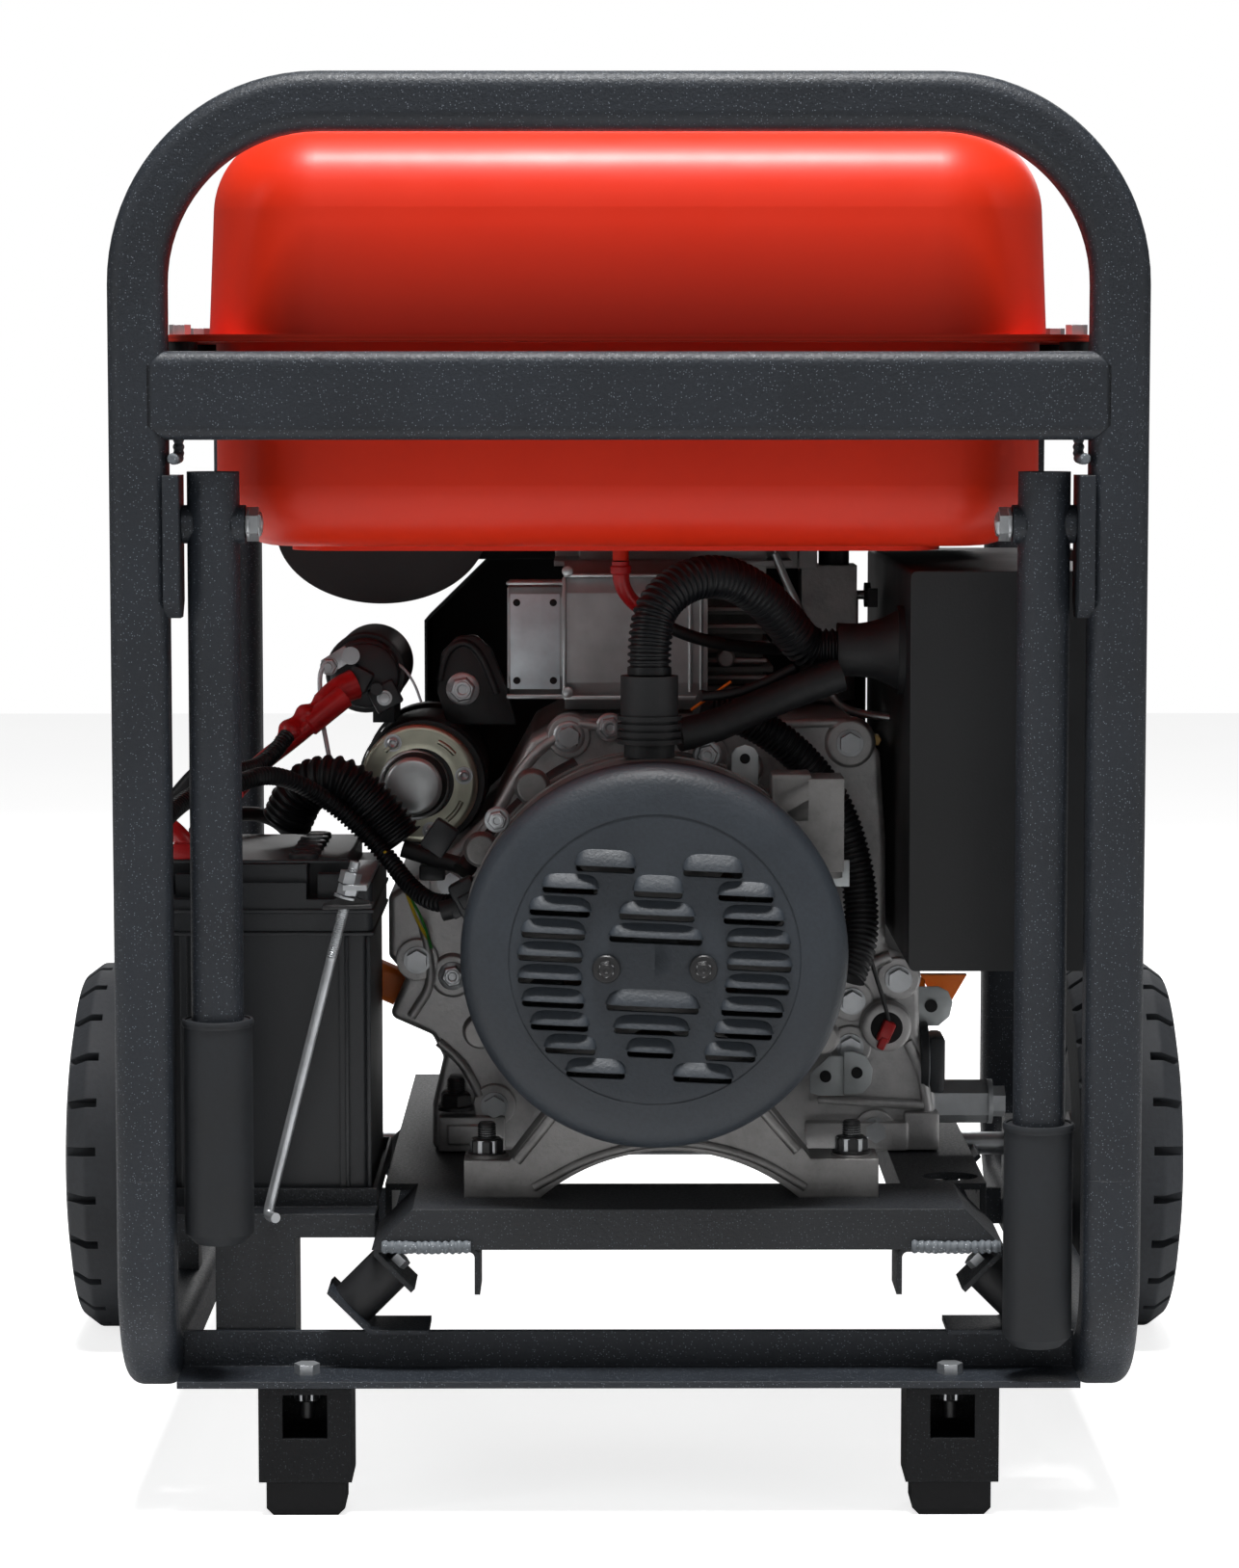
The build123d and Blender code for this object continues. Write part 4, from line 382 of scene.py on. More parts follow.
class Piece:
    """A mesh piece built from rings, lathed profiles and bevelled blocks. All sizes in millimetres."""

    def __init__(self):
        self.bm = bmesh.new()

    def rings(self, rings, capped=True):
        rows = [[self.bm.verts.new(point) for point in ring] for ring in rings]
        count = len(rows[0])
        for low, high in zip(rows, rows[1:]):
            for index in range(count):
                after = (index + 1) % count
                self.bm.faces.new((low[index], low[after], high[after], high[index]))
        if capped:
            self.bm.faces.new(list(reversed(rows[0])))
            self.bm.faces.new(rows[-1])

    def lathe(self, profile, at, axis, segments=40, capped=True):
        """profile is a list of (distance along the axis, radius)."""
        u, v, w = frame_for(axis)
        centre = Vector(at) * MM
        rings = []
        for along, radius in profile:
            ring = []
            for index in range(segments):
                angle = 2 * math.pi * index / segments
                ring.append(
                    centre + w * along * MM + (u * math.cos(angle) + v * math.sin(angle)) * max(radius, 0.01) * MM
                )
            rings.append(ring)
        self.rings(rings, capped)

    def tube(self, points, radius, step=1.5, segments=14, rounds=4):
        """Round section swept along a route; radius may be a function of the distance in mm."""
        path, distances = resample(smooth_path(points, rounds), step * MM)
        rings = []
        normal = None
        for index, point in enumerate(path):
            before, after = path[max(index - 1, 0)], path[min(index + 1, len(path) - 1)]
            tangent = (after - before).normalized()
            if normal is None:
                normal = frame_for(tangent)[0]
            normal = (normal - tangent * normal.dot(tangent)).normalized()
            side = tangent.cross(normal)
            size = radius(distances[index] / MM) if callable(radius) else radius
            ring = []
            for corner in range(segments):
                angle = 2 * math.pi * corner / segments
                ring.append(point + (normal * math.cos(angle) + side * math.sin(angle)) * size * MM)
            rings.append(ring)
        self.rings(rings)

    def round_edges(self, edges, bevel):
        """Bevel each edge once, in the order given, so that every run makes the same mesh."""
        edges = list(dict.fromkeys(edges))
        bmesh.ops.bevel(self.bm, geom=edges, offset=bevel * MM, segments=2, affect="EDGES", profile=0.5)

    def block(self, low, high, bevel=0.6, turn=None):
        """Bevelled block between two corners; turn is an optional matrix about its centre."""
        size = (Vector(high) - Vector(low)) * MM
        centre = (Vector(high) + Vector(low)) / 2 * MM
        place = Matrix.Translation(centre) @ (turn or Matrix.Identity(4)) @ Matrix.Diagonal((*size, 1.0))
        made = bmesh.ops.create_cube(self.bm, size=1.0, matrix=place)
        if bevel:
            self.round_edges((edge for vert in made["verts"] for edge in vert.link_edges), bevel)

    def hexagon(self, at, axis, across, height, crown=0.8, turn=0.0):
        """Hexagonal head with a chamfered crown."""
        u, v, w = frame_for(axis)
        centre = Vector(at) * MM
        corner = across / math.sqrt(3)

        def hex_ring(along, scale):
            ring = []
            for index in range(6):
                angle = math.radians(60 * index + turn)
                outward = u * math.cos(angle) + v * math.sin(angle)
                ring.append(centre + w * along * MM + outward * corner * scale * MM)
            return ring

        self.rings([hex_ring(0, 1.0), hex_ring(height - crown, 1.0), hex_ring(height, 0.86)])

    def outline(self, points, origin, u, v, depth, bevel=0.5):
        """Plate with a polygonal outline, pushed out along u x v by its depth."""
        u, v = Vector(u), Vector(v)
        w = u.cross(v).normalized()
        start = Vector(origin) * MM
        low = [start + (u * x + v * y) * MM for x, y in points]
        high = [point + w * depth * MM for point in low]
        rows = [[self.bm.verts.new(point) for point in ring] for ring in (low, high)]
        count = len(points)
        faces = []
        for index in range(count):
            after = (index + 1) % count
            faces.append(self.bm.faces.new((rows[0][index], rows[0][after], rows[1][after], rows[1][index])))
        faces.append(self.bm.faces.new(list(reversed(rows[0]))))
        faces.append(self.bm.faces.new(rows[1]))
        if bevel:
            self.round_edges((edge for face in faces for edge in face.edges), bevel)

    def make(self, name, material, body="generator", replaces=(), sharp=38.0):
        bmesh.ops.recalc_face_normals(self.bm, faces=self.bm.faces)
        for edge in self.bm.edges:
            edge.smooth = edge.is_manifold and edge.calc_face_angle(0.0) < math.radians(sharp)
        mesh = bpy.data.meshes.new(name)
        self.bm.to_mesh(mesh)
        self.bm.free()
        mesh.polygons.foreach_set("use_smooth", [True] * len(mesh.polygons))
        piece = bpy.data.objects.new(name, mesh)
        bpy.context.scene.collection.objects.link(piece)
        mesh.materials.append(material)
        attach(piece, body)
        if replaces:
            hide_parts(*replaces)


# ---- wiring -------------------------------------------------------------------------------

# The routes of part.py's hoses, in millimetres.
ARCH_ROUTE = (
    (12.5, -250, 485.6), (12.5, -249.5, 505), (16, -244, 526), (34, -233, 541), (57, -220, 543), (78, -207, 532),
    (94, -193, 515), (108, -179, 496), (127, -179, 496),
)
SECOND_ROUTE = ((128, -200, 482), (104, -204, 474), (76, -212, 463), (50, -222, 452), (30, -228, 448))
BRAID_ROUTE = (
    (42, -190, 462), (66, -186, 457), (90, -180, 444), (112, -174, 424), (129, -170, 398), (139, -170, 368),
    (143, -174, 340), (142, -182, 316), (134, -190, 297),
)
LOOM_ROUTE = (
    (-234, -215, 418), (-218, -190, 422), (-200, -174, 415), (-180, -163, 401), (-163, -160, 385),
    (-146, -165, 368), (-133, -178, 352), (-118, -194, 343), (-101, -204, 345),
)
BIG_HOSE_ROUTE = (
    (-140, -148, 376), (-156, -148, 398), (-177, -148, 416), (-200, -142, 410), (-210, -134, 388),
)
LEAD_ROUTE = ((-176, -112, 463), (-190, -118, 452), (-208, -126, 437), (-226, -138, 424), (-240, -156, 408))


RIB_SQUARENESS = 2.2


def corrugated(outer, depth, pitch, start=0.0):
    """Radius of a ribbed conduit along its length: rounded ribs after a plain start."""

    def radius(distance):
        if distance < start:
            return outer
        wave = math.cos(2 * math.pi * distance / pitch)
        return outer - depth * (0.5 - 0.5 * math.tanh(RIB_SQUARENESS * wave) / math.tanh(RIB_SQUARENESS))

    return radius


conduits = Piece()
conduits.tube(ARCH_ROUTE, corrugated(13.0, 1.7, 3.9, 4.0), step=0.65, segments=28)
conduits.tube(BIG_HOSE_ROUTE, corrugated(16.0, 2.4, 4.6), step=0.75, segments=30)
conduits.tube(LOOM_ROUTE, corrugated(5.8, 1.3, 2.9), step=0.48, segments=16)
conduits.make("ribbed_conduits", CONDUIT, replaces=("wiring_conduits",))

sleeves = Piece()
sleeves.tube(SECOND_ROUTE, lambda s: 10.0 + 0.25 * noise.noise(Vector((s * 0.15, 3, 0))), segments=20)
sleeves.tube(BRAID_ROUTE, corrugated(10.8, 1.5, 3.3, 6.0), step=0.6, segments=24)
sleeves.make("braided_sleeves", RUBBER)

lead = Piece()
lead.tube(LEAD_ROUTE, lambda s: 7.5 if s < 30 else 6.0, step=1.2, segments=18)
lead.make("starter_lead_boot", RED_RUBBER)


def round_runs(name, material, slot, *runs):
    """Piece made only of thin round runs: a route, a radius and the number of sides of each."""
    piece = Piece()
    for route, radius, sides in runs:
        piece.tube(route, radius, segments=sides)
    piece.make(name, material)


# ---- alternator end cover -----------------------------------------------------------------

CRANK_X, CRANK_Z = 15.0, 325.0
SLOT_TURN = math.radians(-2.7)
SLOT_TOP, SLOT_PITCH, SLOT_FIELD = 56.0, 13.3, 79.0
MIDDLE_ROWS = {1: 14.0, 2: 21.6, 3: 26.8, 6: 26.7, 7: 21.6, 8: 13.4}


def on_cover(x, z, out):
    """Point on the domed cover, x and z from its centre before the pattern is turned."""
    surface_y = -318 + 1.5 * min(math.hypot(x, z) / 84, 1.0)
    turned_x = x * math.cos(SLOT_TURN) - z * math.sin(SLOT_TURN)
    turned_z = x * math.sin(SLOT_TURN) + z * math.cos(SLOT_TURN)
    return Vector((CRANK_X + turned_x, surface_y - out, CRANK_Z + turned_z)) * MM


def hood(piece, middle, half_length, lip_z, height):
    """Pressed louvre: a shell that leans out from the cover to a straight lower lip."""
    rings = []
    for step in range(25):
        u = -1 + step / 12
        taper = max((1 - abs(u) ** 5) ** 0.5, 0.06)
        ring = []
        for side, order in ((0.0, range(7)), (1.5, range(6, -1, -1))):
            for index in order:
                share = index / 6
                out = 5.2 * taper * (0.55 * share + 0.45 * math.sin(share * math.pi / 2)) - side
                ring.append(on_cover(middle + half_length * u, lip_z + height * taper * (1 - share), out))
        rings.append(ring)
    piece.rings(rings)


cover_rim = Piece()
rim_profile = [
    (-1, 99), (-1, 111.6), (3, 112.7), (10, 112.9), (17, 112.2), (22.5, 110.0), (26.2, 106.4),
    (28.6, 101.6), (30.2, 95.6), (31.1, 89.6), (31.65, 84.4), (28, 84.4), (24, 98), (-1, 99),
]
cover_rim.lathe(rim_profile, (CRANK_X, -285, CRANK_Z), FRONT, 120, False)
cover_rim.make("cover_rim", SLATE, sharp=50)

louvres = Piece()
for row in range(10):
    row_z = SLOT_TOP - SLOT_PITCH * row
    inner, outer = 42 - 0.004 * row_z**2, math.sqrt(SLOT_FIELD**2 - row_z**2)
    if row in (0, 9):
        inner, outer = 14, 48
    height = 9.5 if row == 0 else 8.0
    for side in (-1, 1):
        hood(louvres, side * (inner + outer) / 2, (outer - inner) / 2 + 0.8, row_z - 2.8, height)
    if row in MIDDLE_ROWS:
        hood(louvres, 0, MIDDLE_ROWS[row] + 0.8, row_z - 2.8, 9.5 if row in (1, 6) else 8.0)
louvres.make("cover_louvres", SLATE, sharp=50)

cover_screws = Piece()
for side in (-1, 1):
    place = (CRANK_X + side * 28, -318.2, CRANK_Z - 5)
    cover_screws.lathe([(0, 8.2), (1.2, 8.2), (2.0, 7.4), (2.0, 4.4)], place, FRONT, 28)
    cover_screws.hexagon((place[0], -318.4, place[2]), FRONT, 8.8, 4.5, 0.9, 12)
    cover_screws.lathe([(0, 3.4), (0.5, 3.0), (0.5, 1.9), (0, 1.4)], (place[0], -322.8, place[2]), FRONT, 20)
cover_screws.make("cover_screw_washers", BLACK_STEEL)


def flange_bolt(piece, at, axis, across=12.0, flange=8.5, height=6.5):
    """Flanged hexagon head with the dished ring on its crown."""
    piece.lathe([(0, flange), (1.2, flange), (2.2, flange * 0.86)], at, axis, 28)
    w = Vector(axis).normalized()
    top = Vector(at) + w * 1.8
    piece.hexagon(top, axis, across, height - 1.8, 1.0, 12)
    crown = Vector(at) + w * (height - 0.2)
    piece.lathe(
        [(0, across * 0.40), (0.7, across * 0.36), (0.7, across * 0.24), (0.0, across * 0.18)], crown, axis, 24,
    )


# ---- alternator end bell: seams, tabs and bosses ------------------------------------------

bell = Piece()
for seam_y, seam_radius, width in ((-246, 112.9, 2.2), (-218, 113.4, 5.0)):
    half, inside = width / 2, seam_radius - 2
    loop = [(-half, inside), (-half, seam_radius), (half, seam_radius), (half, inside), (-half, inside)]
    bell.lathe(loop, (CRANK_X, seam_y, CRANK_Z), FRONT, 96, False)
for turn, length, reach in ((62, 8, 117), (128, 8, 117), (152, 6, 116), (208, 8, 117), (-30, 8, 117)):
    angle = math.radians(turn)
    centre = (CRANK_X + reach * math.cos(angle), -225, CRANK_Z + reach * math.sin(angle))
    bell.lathe([(0, 11), (length - 2, 10), (length, 8.5)], centre, FRONT, 26)
# terminal housing with its rounded post, right of the top
bell.block((84, -262, 398), (108, -232, 428), 2.0)
bell.lathe([(0, 14.2), (50, 13.4), (53, 12.0)], (113, -244, 365), UP, 36)
# rib along each foot and the raised pad under each nut
for path in (
    ((-66, -269, 199), (-46, -269, 224), (-30, -269, 246)), ((100, -269, 205), (80, -269, 228), (62, -269, 250)),
):
    bell.tube(path, 3.2, step=2.0, segments=12)
bell.tube(
    ((-56, -268.5, 183), (-20, -268.5, 203), (27, -268.5, 212), (72, -268.5, 203), (105, -268.5, 183)), 2.6,
    step=2.0,
)
for stud_x in (-84, 133):
    bell.lathe([(0, 13.5), (3.0, 13.0), (4.0, 12.0)], (stud_x, -250, 196.8), UP, 36)
bell.make("end_bell_detail", CAST)

bell_tabs = Piece()
tab = [(-8, -14), (8, -14), (8, 4), (5.5, 8), (0, 10), (-5.5, 8), (-8, 4)]
bell_tabs.outline(tab, (69.5, -232, 433), RIGHT, UP, 2.2, 0.4)
bell_tabs.outline(tab, (118, -232, 366), UP, (-1, 0, 0), 2.2, 0.4)
bell_tabs.make("end_bell_tabs", ZINC_DULL)

# near-black discs in the tab and bracket holes: painted shade
tab_holes = Piece()
for place, radius, depth in (
    ((69.5, -232.3, 434.5), 3.1, 2.2), ((119.5, -232.3, 366), 3.1, 2.2), ((123.6, -131.6, 227.5), 3.6, 3.4),
    ((143.1, -131.6, 229.9), 3.6, 3.4), ((192.2, -91.6, 266.0), 4.0, 3.4),
):
    tab_holes.lathe([(0, radius), (depth, radius)], place, FRONT, 20)
tab_holes.make("tab_holes", RECESS_SHADE)

bolts = Piece()
for place, across, flange, height in (
    ((47.2, -226, 436.4), 11, 8.6, 6.5), ((-103.4, -71, 465.0), 14, 10.5, 9), ((-97, -112, 337), 11, 8.4, 6.5),
    ((-109, -112, 288), 12, 9.4, 6.5), ((CRANK_X - 92, -262, CRANK_Z + 76), 10, 7.6, 6.5),
    ((-10.4, -113, 444), 12, 9, 6.5), ((-36, -113, 438), 13, 10, 6.5),
):
    flange_bolt(bolts, place, FRONT, across, flange, height)
bolts.make("engine_flange_bolts", ZINC)

nuts = Piece()
for stud_x, stud_y, seat_z in ((-84, -250, 199), (133, -250, 200), (-107, -116, 204)):
    nuts.lathe([(-0.1, 11.4), (2.2, 11.4), (2.6, 11.0)], (stud_x, stud_y, seat_z), UP, 36)
    nuts.hexagon((stud_x, stud_y, seat_z + 2.3), UP, 17.8, 8.4, 1.2, 8)
    turns = [(10 + 0.35 * step, 5.3 + 0.35 * math.sin(step * 1.6)) for step in range(28)]
    nuts.lathe([(9.6, 5.2)] + turns + [(20.2, 4.4)], (stud_x, stud_y, seat_z), UP, 24)
for side in (-1, 1):
    nuts.hexagon((side * 188, -304, 72.1), (0, 0, -1), 13.8, 7.8, 1.0)
    nuts.lathe([(7, 4.3), (17.8, 4.3), (18.4, 3.8)], (side * 188, -304, 72.1), (0, 0, -1), 20)
nuts.make("foot_stud_nuts", BLACK_STEEL)

# ---- crankcase: ribs, bosses, brackets ------------------------------------------------------

ribs = Piece()
for centre_x, centre_z, radius, depth in (
    (-97, 337, 12.5, 4), (-109, 288, 13.5, 4), (139, 434, 15, 5), (170, 286, 13, 4), (50, 426, 13, 4),
    (-36, 438, 13, 4),
    (141, 272, 11, 4), (140, 243, 11, 4), (156, 190, 12.5, 4), (-83, 206, 13, 4),
):
    ribs.lathe(
        [(-2, radius + 1.5), (depth - 1.5, radius), (depth, radius - 1.4)], (centre_x, -109.5, centre_z), FRONT, 30,
    )
for path, radius in (
    (((-135, -112, 262), (-120, -113, 285), (-128, -112, 322)), 3.0),
    (((-112, -112, 350), (-84, -113, 384), (-62, -112, 425), (-34, -112, 444)), 3.4),
    (((-118, -111, 246), (-102, -112, 232), (-92, -112, 212)), 3.0),
    (((60, -111, 444), (100, -112, 446), (136, -111, 447)), 3.0),
    (((122, -112, 300), (140, -113, 290), (165, -112, 300)), 4.0),
    (((120, -112, 210), (150, -113, 208), (186, -112, 206)), 3.0),
    (((176, -112, 246), (186, -113, 226), (190, -112, 196)), 3.4),
    (((-30, -112, 446), (10, -113, 441), (44, -112, 443)), 3.0),
):
    ribs.tube(path, radius, step=2.0, segments=12)
# engine feet with their recessed pads
ribs.block((-118, -122, 178), (-76, -106, 200), 1.6)
ribs.block((-112, -124.5, 183), (-82, -121, 195), 1.0)
ribs.block((112, -120, 178), (176, -106, 196), 1.6)
ribs.block((174, -118, 178), (196, -84, 202), 1.6)
ribs.lathe([(0, 15.8), (7.6, 15.2), (8.4, 14.0), (8.4, 11.2)], (162, -118.2, 257), FRONT, 40)
ribs.make("case_ribs_bosses", CAST_LIT)

# sensor by the right engine foot: socket mouth filled with painted shade, red plug and black wire
plug = Piece()
plug.lathe([(0, 10.6), (2.0, 10.4), (2.4, 9.0)], (162, -124.5, 257), FRONT, 32)
plug.make("sensor_socket", RECESS_SHADE)
plug = Piece()
plug.block((157.5, -133, 248), (165.5, -125, 262), 1.6, turn_y(24))
plug.block((156.5, -134, 244), (161.5, -128, 252), 1.2, turn_y(24))
plug.make("sensor_plug", RED_RUBBER)
round_runs(
    "sensor_wire", RUBBER, "black_rubber",
    (((163, -130, 262), (160, -132, 274), (154, -136, 292), (150, -140, 306)), 1.3, 10),
    (((150, -140, 300), (146, -134, 318), (147, -128, 340)), 1.3, 10),
)

# plated brackets in front of the case, then the black filter cap and its band
bracket = Piece()
bracket.outline(
    [(-12, -11), (-5, -13), (9, -13), (9, 12), (0, 12), (-12, 1)], (126, -130, 228), RIGHT, UP, 1.8, 0.4
)
bracket.outline(
    [(0, -13), (12, -12), (17, -6), (18, 3), (14, 11), (6, 14), (0, 14)], (135, -131.5, 229), RIGHT, UP, 1.8, 0.4
)
bracket.outline(
    [(-26, 12), (8, 12), (14, 9), (17, 2), (15, -7), (8, -13), (-10, -13), (-20, -4)],
    (189, -90, 266), RIGHT, UP, 2.0, 0.4,
)
bracket.make("lifting_tabs", ZINC_DULL)

rim = Piece()
rim.lathe([(0, 23), (3, 24), (5, 24)], (184.5, -96, 232), RIGHT, 40)
rim.block((190, -112, 213), (200, -80, 249), 3.0)
rim.make("oil_filter_cap", BLACK_PLASTIC)
rim = Piece()
rim.lathe([(0, 22.5), (2.2, 22.5)], (187.6, -97, 232), RIGHT, 40)
flange_bolt(rim, (188, -108, 207), FRONT, 6, 4.6, 5)
rim.make("oil_filter_band", ZINC)

# ---- starter motor and its solenoid ---------------------------------------------------------

STARTER = (-130.0, 408.0)
starter_plate = Piece()
starter_plate.lathe(
    [(-8, 36.0), (-8, 37.0), (1.2, 36.8), (2.6, 35.4), (3.0, 33.0), (2.4, 29.0), (3.2, 26.0), (2.6, 22.0),
    (-8, 22.0), (-8, 36.0)],
    (STARTER[0], -101.8, STARTER[1]), FRONT, 72, False,
)
for turn, spread in ((52, 26), (-38, 30), (128, 16), (232, 18)):
    path = []
    for step in range(5):
        angle = math.radians(turn - spread / 2 + spread * step / 4)
        path.append((STARTER[0] + 29 * math.cos(angle), -104.6, STARTER[1] + 29 * math.sin(angle)))
    starter_plate.tube(path, 1.5, segments=10, rounds=2)
starter_plate.make("starter_end_plate", YELLOW_ZINC)

starter_dome = Piece()
starter_dome.lathe(
    [(-3, 22.2), (1.6, 22.4), (3.4, 21.6), (4.0, 20.2), (3.4, 19.2), (5.0, 18.4), (9.4, 18.0), (10.8, 17.0),
    (11.4, 15.2), (11.7, 8.0), (11.8, 0.0)],
    (STARTER[0] - 3.2, -102.6, STARTER[1] - 1.0), FRONT, 72,
)
starter_dome.make("starter_end_dome", STEEL_BRIGHT)

starter_screws = Piece()
for dx, dz in ((-16, 25.5), (28.4, 5), (7.6, -29.6)):
    place = (STARTER[0] + dx, -104.4, STARTER[1] + dz)
    starter_screws.lathe([(0, 5.6), (1.0, 5.6), (1.0, 4.4), (0.4, 4.2)], place, FRONT, 24)
    starter_screws.lathe([(0, 3.6), (2.2, 3.4), (2.8, 2.4), (1.6, 1.0)], place, FRONT, 20)
starter_screws.make("starter_through_bolts", ZINC)

starter_body = Piece()
starter_body.lathe([(0, 39.5), (4, 40.6), (10, 40.6), (14, 39.4)], (-128, -76, 408), FRONT, 60, False)
starter_body.lathe([(0, 39.4), (3, 41.5), (24, 41.5), (27, 39.4)], (-128, 40, 408), FRONT, 60, False)
starter_body.outline(
    [(0, 0), (44, 0), (38, 22), (28, 48), (18, 57), (6, 56), (-4, 46), (-7, 22)], (-113, -62, 442), RIGHT, UP, 9.0,
    1.6
)
starter_body.tube(((-118, -71, 470), (-114, -71, 488), (-103, -71, 496), (-92, -71, 488), (-82, -71, 462)), 2.2)
starter_body.make("starter_bands", BLACK_SHEET)

SOLENOID = (-164.0, 476.0)
cap = Piece()
cap.lathe([(-6, 25.4), (5, 25.4), (7, 24.6)], (SOLENOID[0], -76, SOLENOID[1]), FRONT, 48)
cap.lathe([(0, 20.5), (5, 20), (6.4, 18)], (SOLENOID[0] + 1, -90, SOLENOID[1] - 1), FRONT, 40)
cap.block((-174, -103, 466), (-160, -91, 480), 1.6, turn_y(28))
cap.block((-160, -100, 454), (-142, -92, 470), 1.6, turn_y(-28))
cap.block((-182, -98, 459), (-174, -92, 466), 1.0)
cap.make("solenoid_cap", BLACK_PLASTIC)
terminals = Piece()
terminals.block((-190, -98, 479.5), (-172, -95.5, 490), 0.5, turn_y(-32))
terminals.lathe([(0, 5.6), (1.0, 5.6)], (-186, -98, 481), FRONT, 24)
terminals.hexagon((-186, -99, 481), FRONT, 9, 4)
terminals.lathe([(0, 2.4), (8, 2.4)], (-186, -99, 481), FRONT, 16)
terminals.lathe([(0, 5.6), (1.0, 5.6)], (-172, -104, 488), FRONT, 24)
terminals.hexagon((-172, -98, 488), FRONT, 8, 5)
terminals.lathe([(0, 4.8), (1.2, 4.8), (1.2, 3.4), (2.4, 3.2), (2.6, 1.6)], (-151.3, -100.2, 461.3), FRONT, 24)
terminals.make("solenoid_terminals", ZINC)
round_runs(
    "solenoid_wires", surface("silver_wire", (0.52, 0.53, 0.56), 0.35, 0.3), "zinc_steel",
    (((-187, -102, 484), (-191.5, -104, 478), (-191.2, -106, 464), (-189.6, -112, 448), (-186, -120, 432),
    (-183, -122, 416), (-180, -120, 404)), 1.5, 10),
    (((-148, -86, 484), (-140, -90, 480), (-133, -90, 470), (-129, -88, 458)), 0.9, 8),
)

boot = Piece()
boot.tube(
    ((-170, -100, 470), (-180, -104, 466), (-189, -110, 458)), lambda s: 9.5 - 0.06 * s, step=1.0, segments=22,
)
boot.tube(
    ((-186, -108, 460), (-198, -118, 452), (-206, -124, 446), (-213, -130, 436)),
    lambda s: 6.6 + 1.3 * math.sin(s * 0.42), step=0.8, segments=20,
)
boot.make("starter_terminal_boot", RED_RUBBER)
tail = Piece()
tail.tube(
    ((-210, -132, 440), (-219, -146, 428), (-230, -168, 422), (-242, -190, 424)), corrugated(5.2, 0.8, 2.6),
    step=0.55, segments=16,
)
tail.make("starter_lead_conduit", CONDUIT)

# ---- connectors and thin looms --------------------------------------------------------------

round_runs(
    "thin_looms", RUBBER, "black_rubber",
    (((-112, -206, 340), (-104, -207, 342), (-96, -208, 346)), 6.2, 16),
    (((-101, -170, 360), (-78, -150, 384), (-51, -140, 410), (-30, -140, 422)), 6.4, 18),
    (((-138, -150, 372), (-118, -152, 366), (-100, -160, 362)), 5.4, 16),
    (((60, -205, 457), (84, -199, 466), (108, -190, 478), (124, -184, 486)), 7.0, 16),
    (((44, -214, 470), (70, -206, 472), (100, -196, 486)), 3.0, 12),
)

connector = Piece()
turned = turn_y(-28)
connector.block((-104, -216, 336), (-88, -200, 360), 2.2, turned)
connector.block((-106.5, -213, 340), (-85.5, -203, 346), 1.0, turned)
connector.block((-101, -218, 344), (-91, -215, 352), 1.0, turned)
connector.block((-122, -188, 372), (-106, -176, 392), 1.8, turn_y(34))
connector.block((-128, -150, 352), (-112, -138, 362), 1.6)
connector.make("loom_connectors", BLACK_PLASTIC)

round_runs(
    "yellow_wire", WIRE_YELLOW, "orange_plastic",
    (((-148, -170, 372), (-140, -150, 356), (-135, -140, 340), (-130, -130, 324), (-124, -118, 312)), 1.1, 8),
)
round_runs(
    "green_wire", WIRE_GREEN, "black_plastic",
    (((-141, -158, 362), (-136, -142, 344), (-127, -128, 326), (-122, -116, 306)), 0.9, 8),
)
round_runs(
    "orange_wire", ORANGE, "orange_plastic",
    (((38, -212, 462), (50, -206, 470), (62, -200, 478)), 0.9, 10),
)

# ---- control panel ----------------------------------------------------------------------------

SCREW_INSET = 9.0
OUTLET_Y, OUTLET_Z, SOCKET_Y = (-190, -90, 10), 400, 102
panel_low, panel_high = (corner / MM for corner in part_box("control_panel"))
screws = Piece()
for screw_y in (panel_low.y + SCREW_INSET, (panel_low.y + panel_high.y) / 2, panel_high.y - SCREW_INSET):
    for screw_z in (panel_low.z + SCREW_INSET, panel_high.z - SCREW_INSET):
        place = (panel_high.x - 3.0, screw_y, screw_z)
        screws.lathe([(0, 5.2), (3.4, 5.2), (4.6, 4.2), (5.0, 2.6), (4.2, 1.8), (3.8, 0.4)], place, RIGHT, 28)
for outlet_y in OUTLET_Y:
    screws.lathe(
        [(-0.5, 3.4), (0.6, 3.4), (1.4, 2.6), (0.9, 1.2)], (panel_high.x + 3, outlet_y, OUTLET_Z), RIGHT, 20,
    )
screws.make("panel_screws", ZINC)

# meter dial, then its bezel, marks and needle together with the contacts of the round socket
METER = Vector((panel_high.x + 5, 60, 500))
dial = Piece()
dial.lathe([(-0.5, 21.6), (0.5, 21.6), (0.8, 20.8)], METER, RIGHT, 40)
dial.make("meter_dial", WHITE_PLASTIC)
dial = Piece()
dial.lathe(
    [(-0.5, 25.4), (2.0, 25.2), (3.0, 24.2), (3.0, 22.6), (1.0, 21.2), (-0.5, 21.2), (-0.5, 25.4)], METER, RIGHT,
    56, False,
)
for tick in range(9):
    turn = math.radians(-60 + 15 * tick)
    start, end = (
        METER + Vector((0.9, reach * math.sin(turn), reach * math.cos(turn) - 6)) for reach in (19.0, 22.5)
    )
    dial.tube((start, end), 0.45, step=1.0, segments=8, rounds=1)
dial.tube((METER + Vector((1.5, 0, -8)), METER + Vector((1.5, -9, 10))), 0.5, step=1.0, segments=8, rounds=1)
dial.lathe([(0, 3.4), (1.8, 3.2), (2.2, 2.2)], METER + Vector((0, 0, -8)), RIGHT, 24)
SOCKET_RADIUS = 15.5
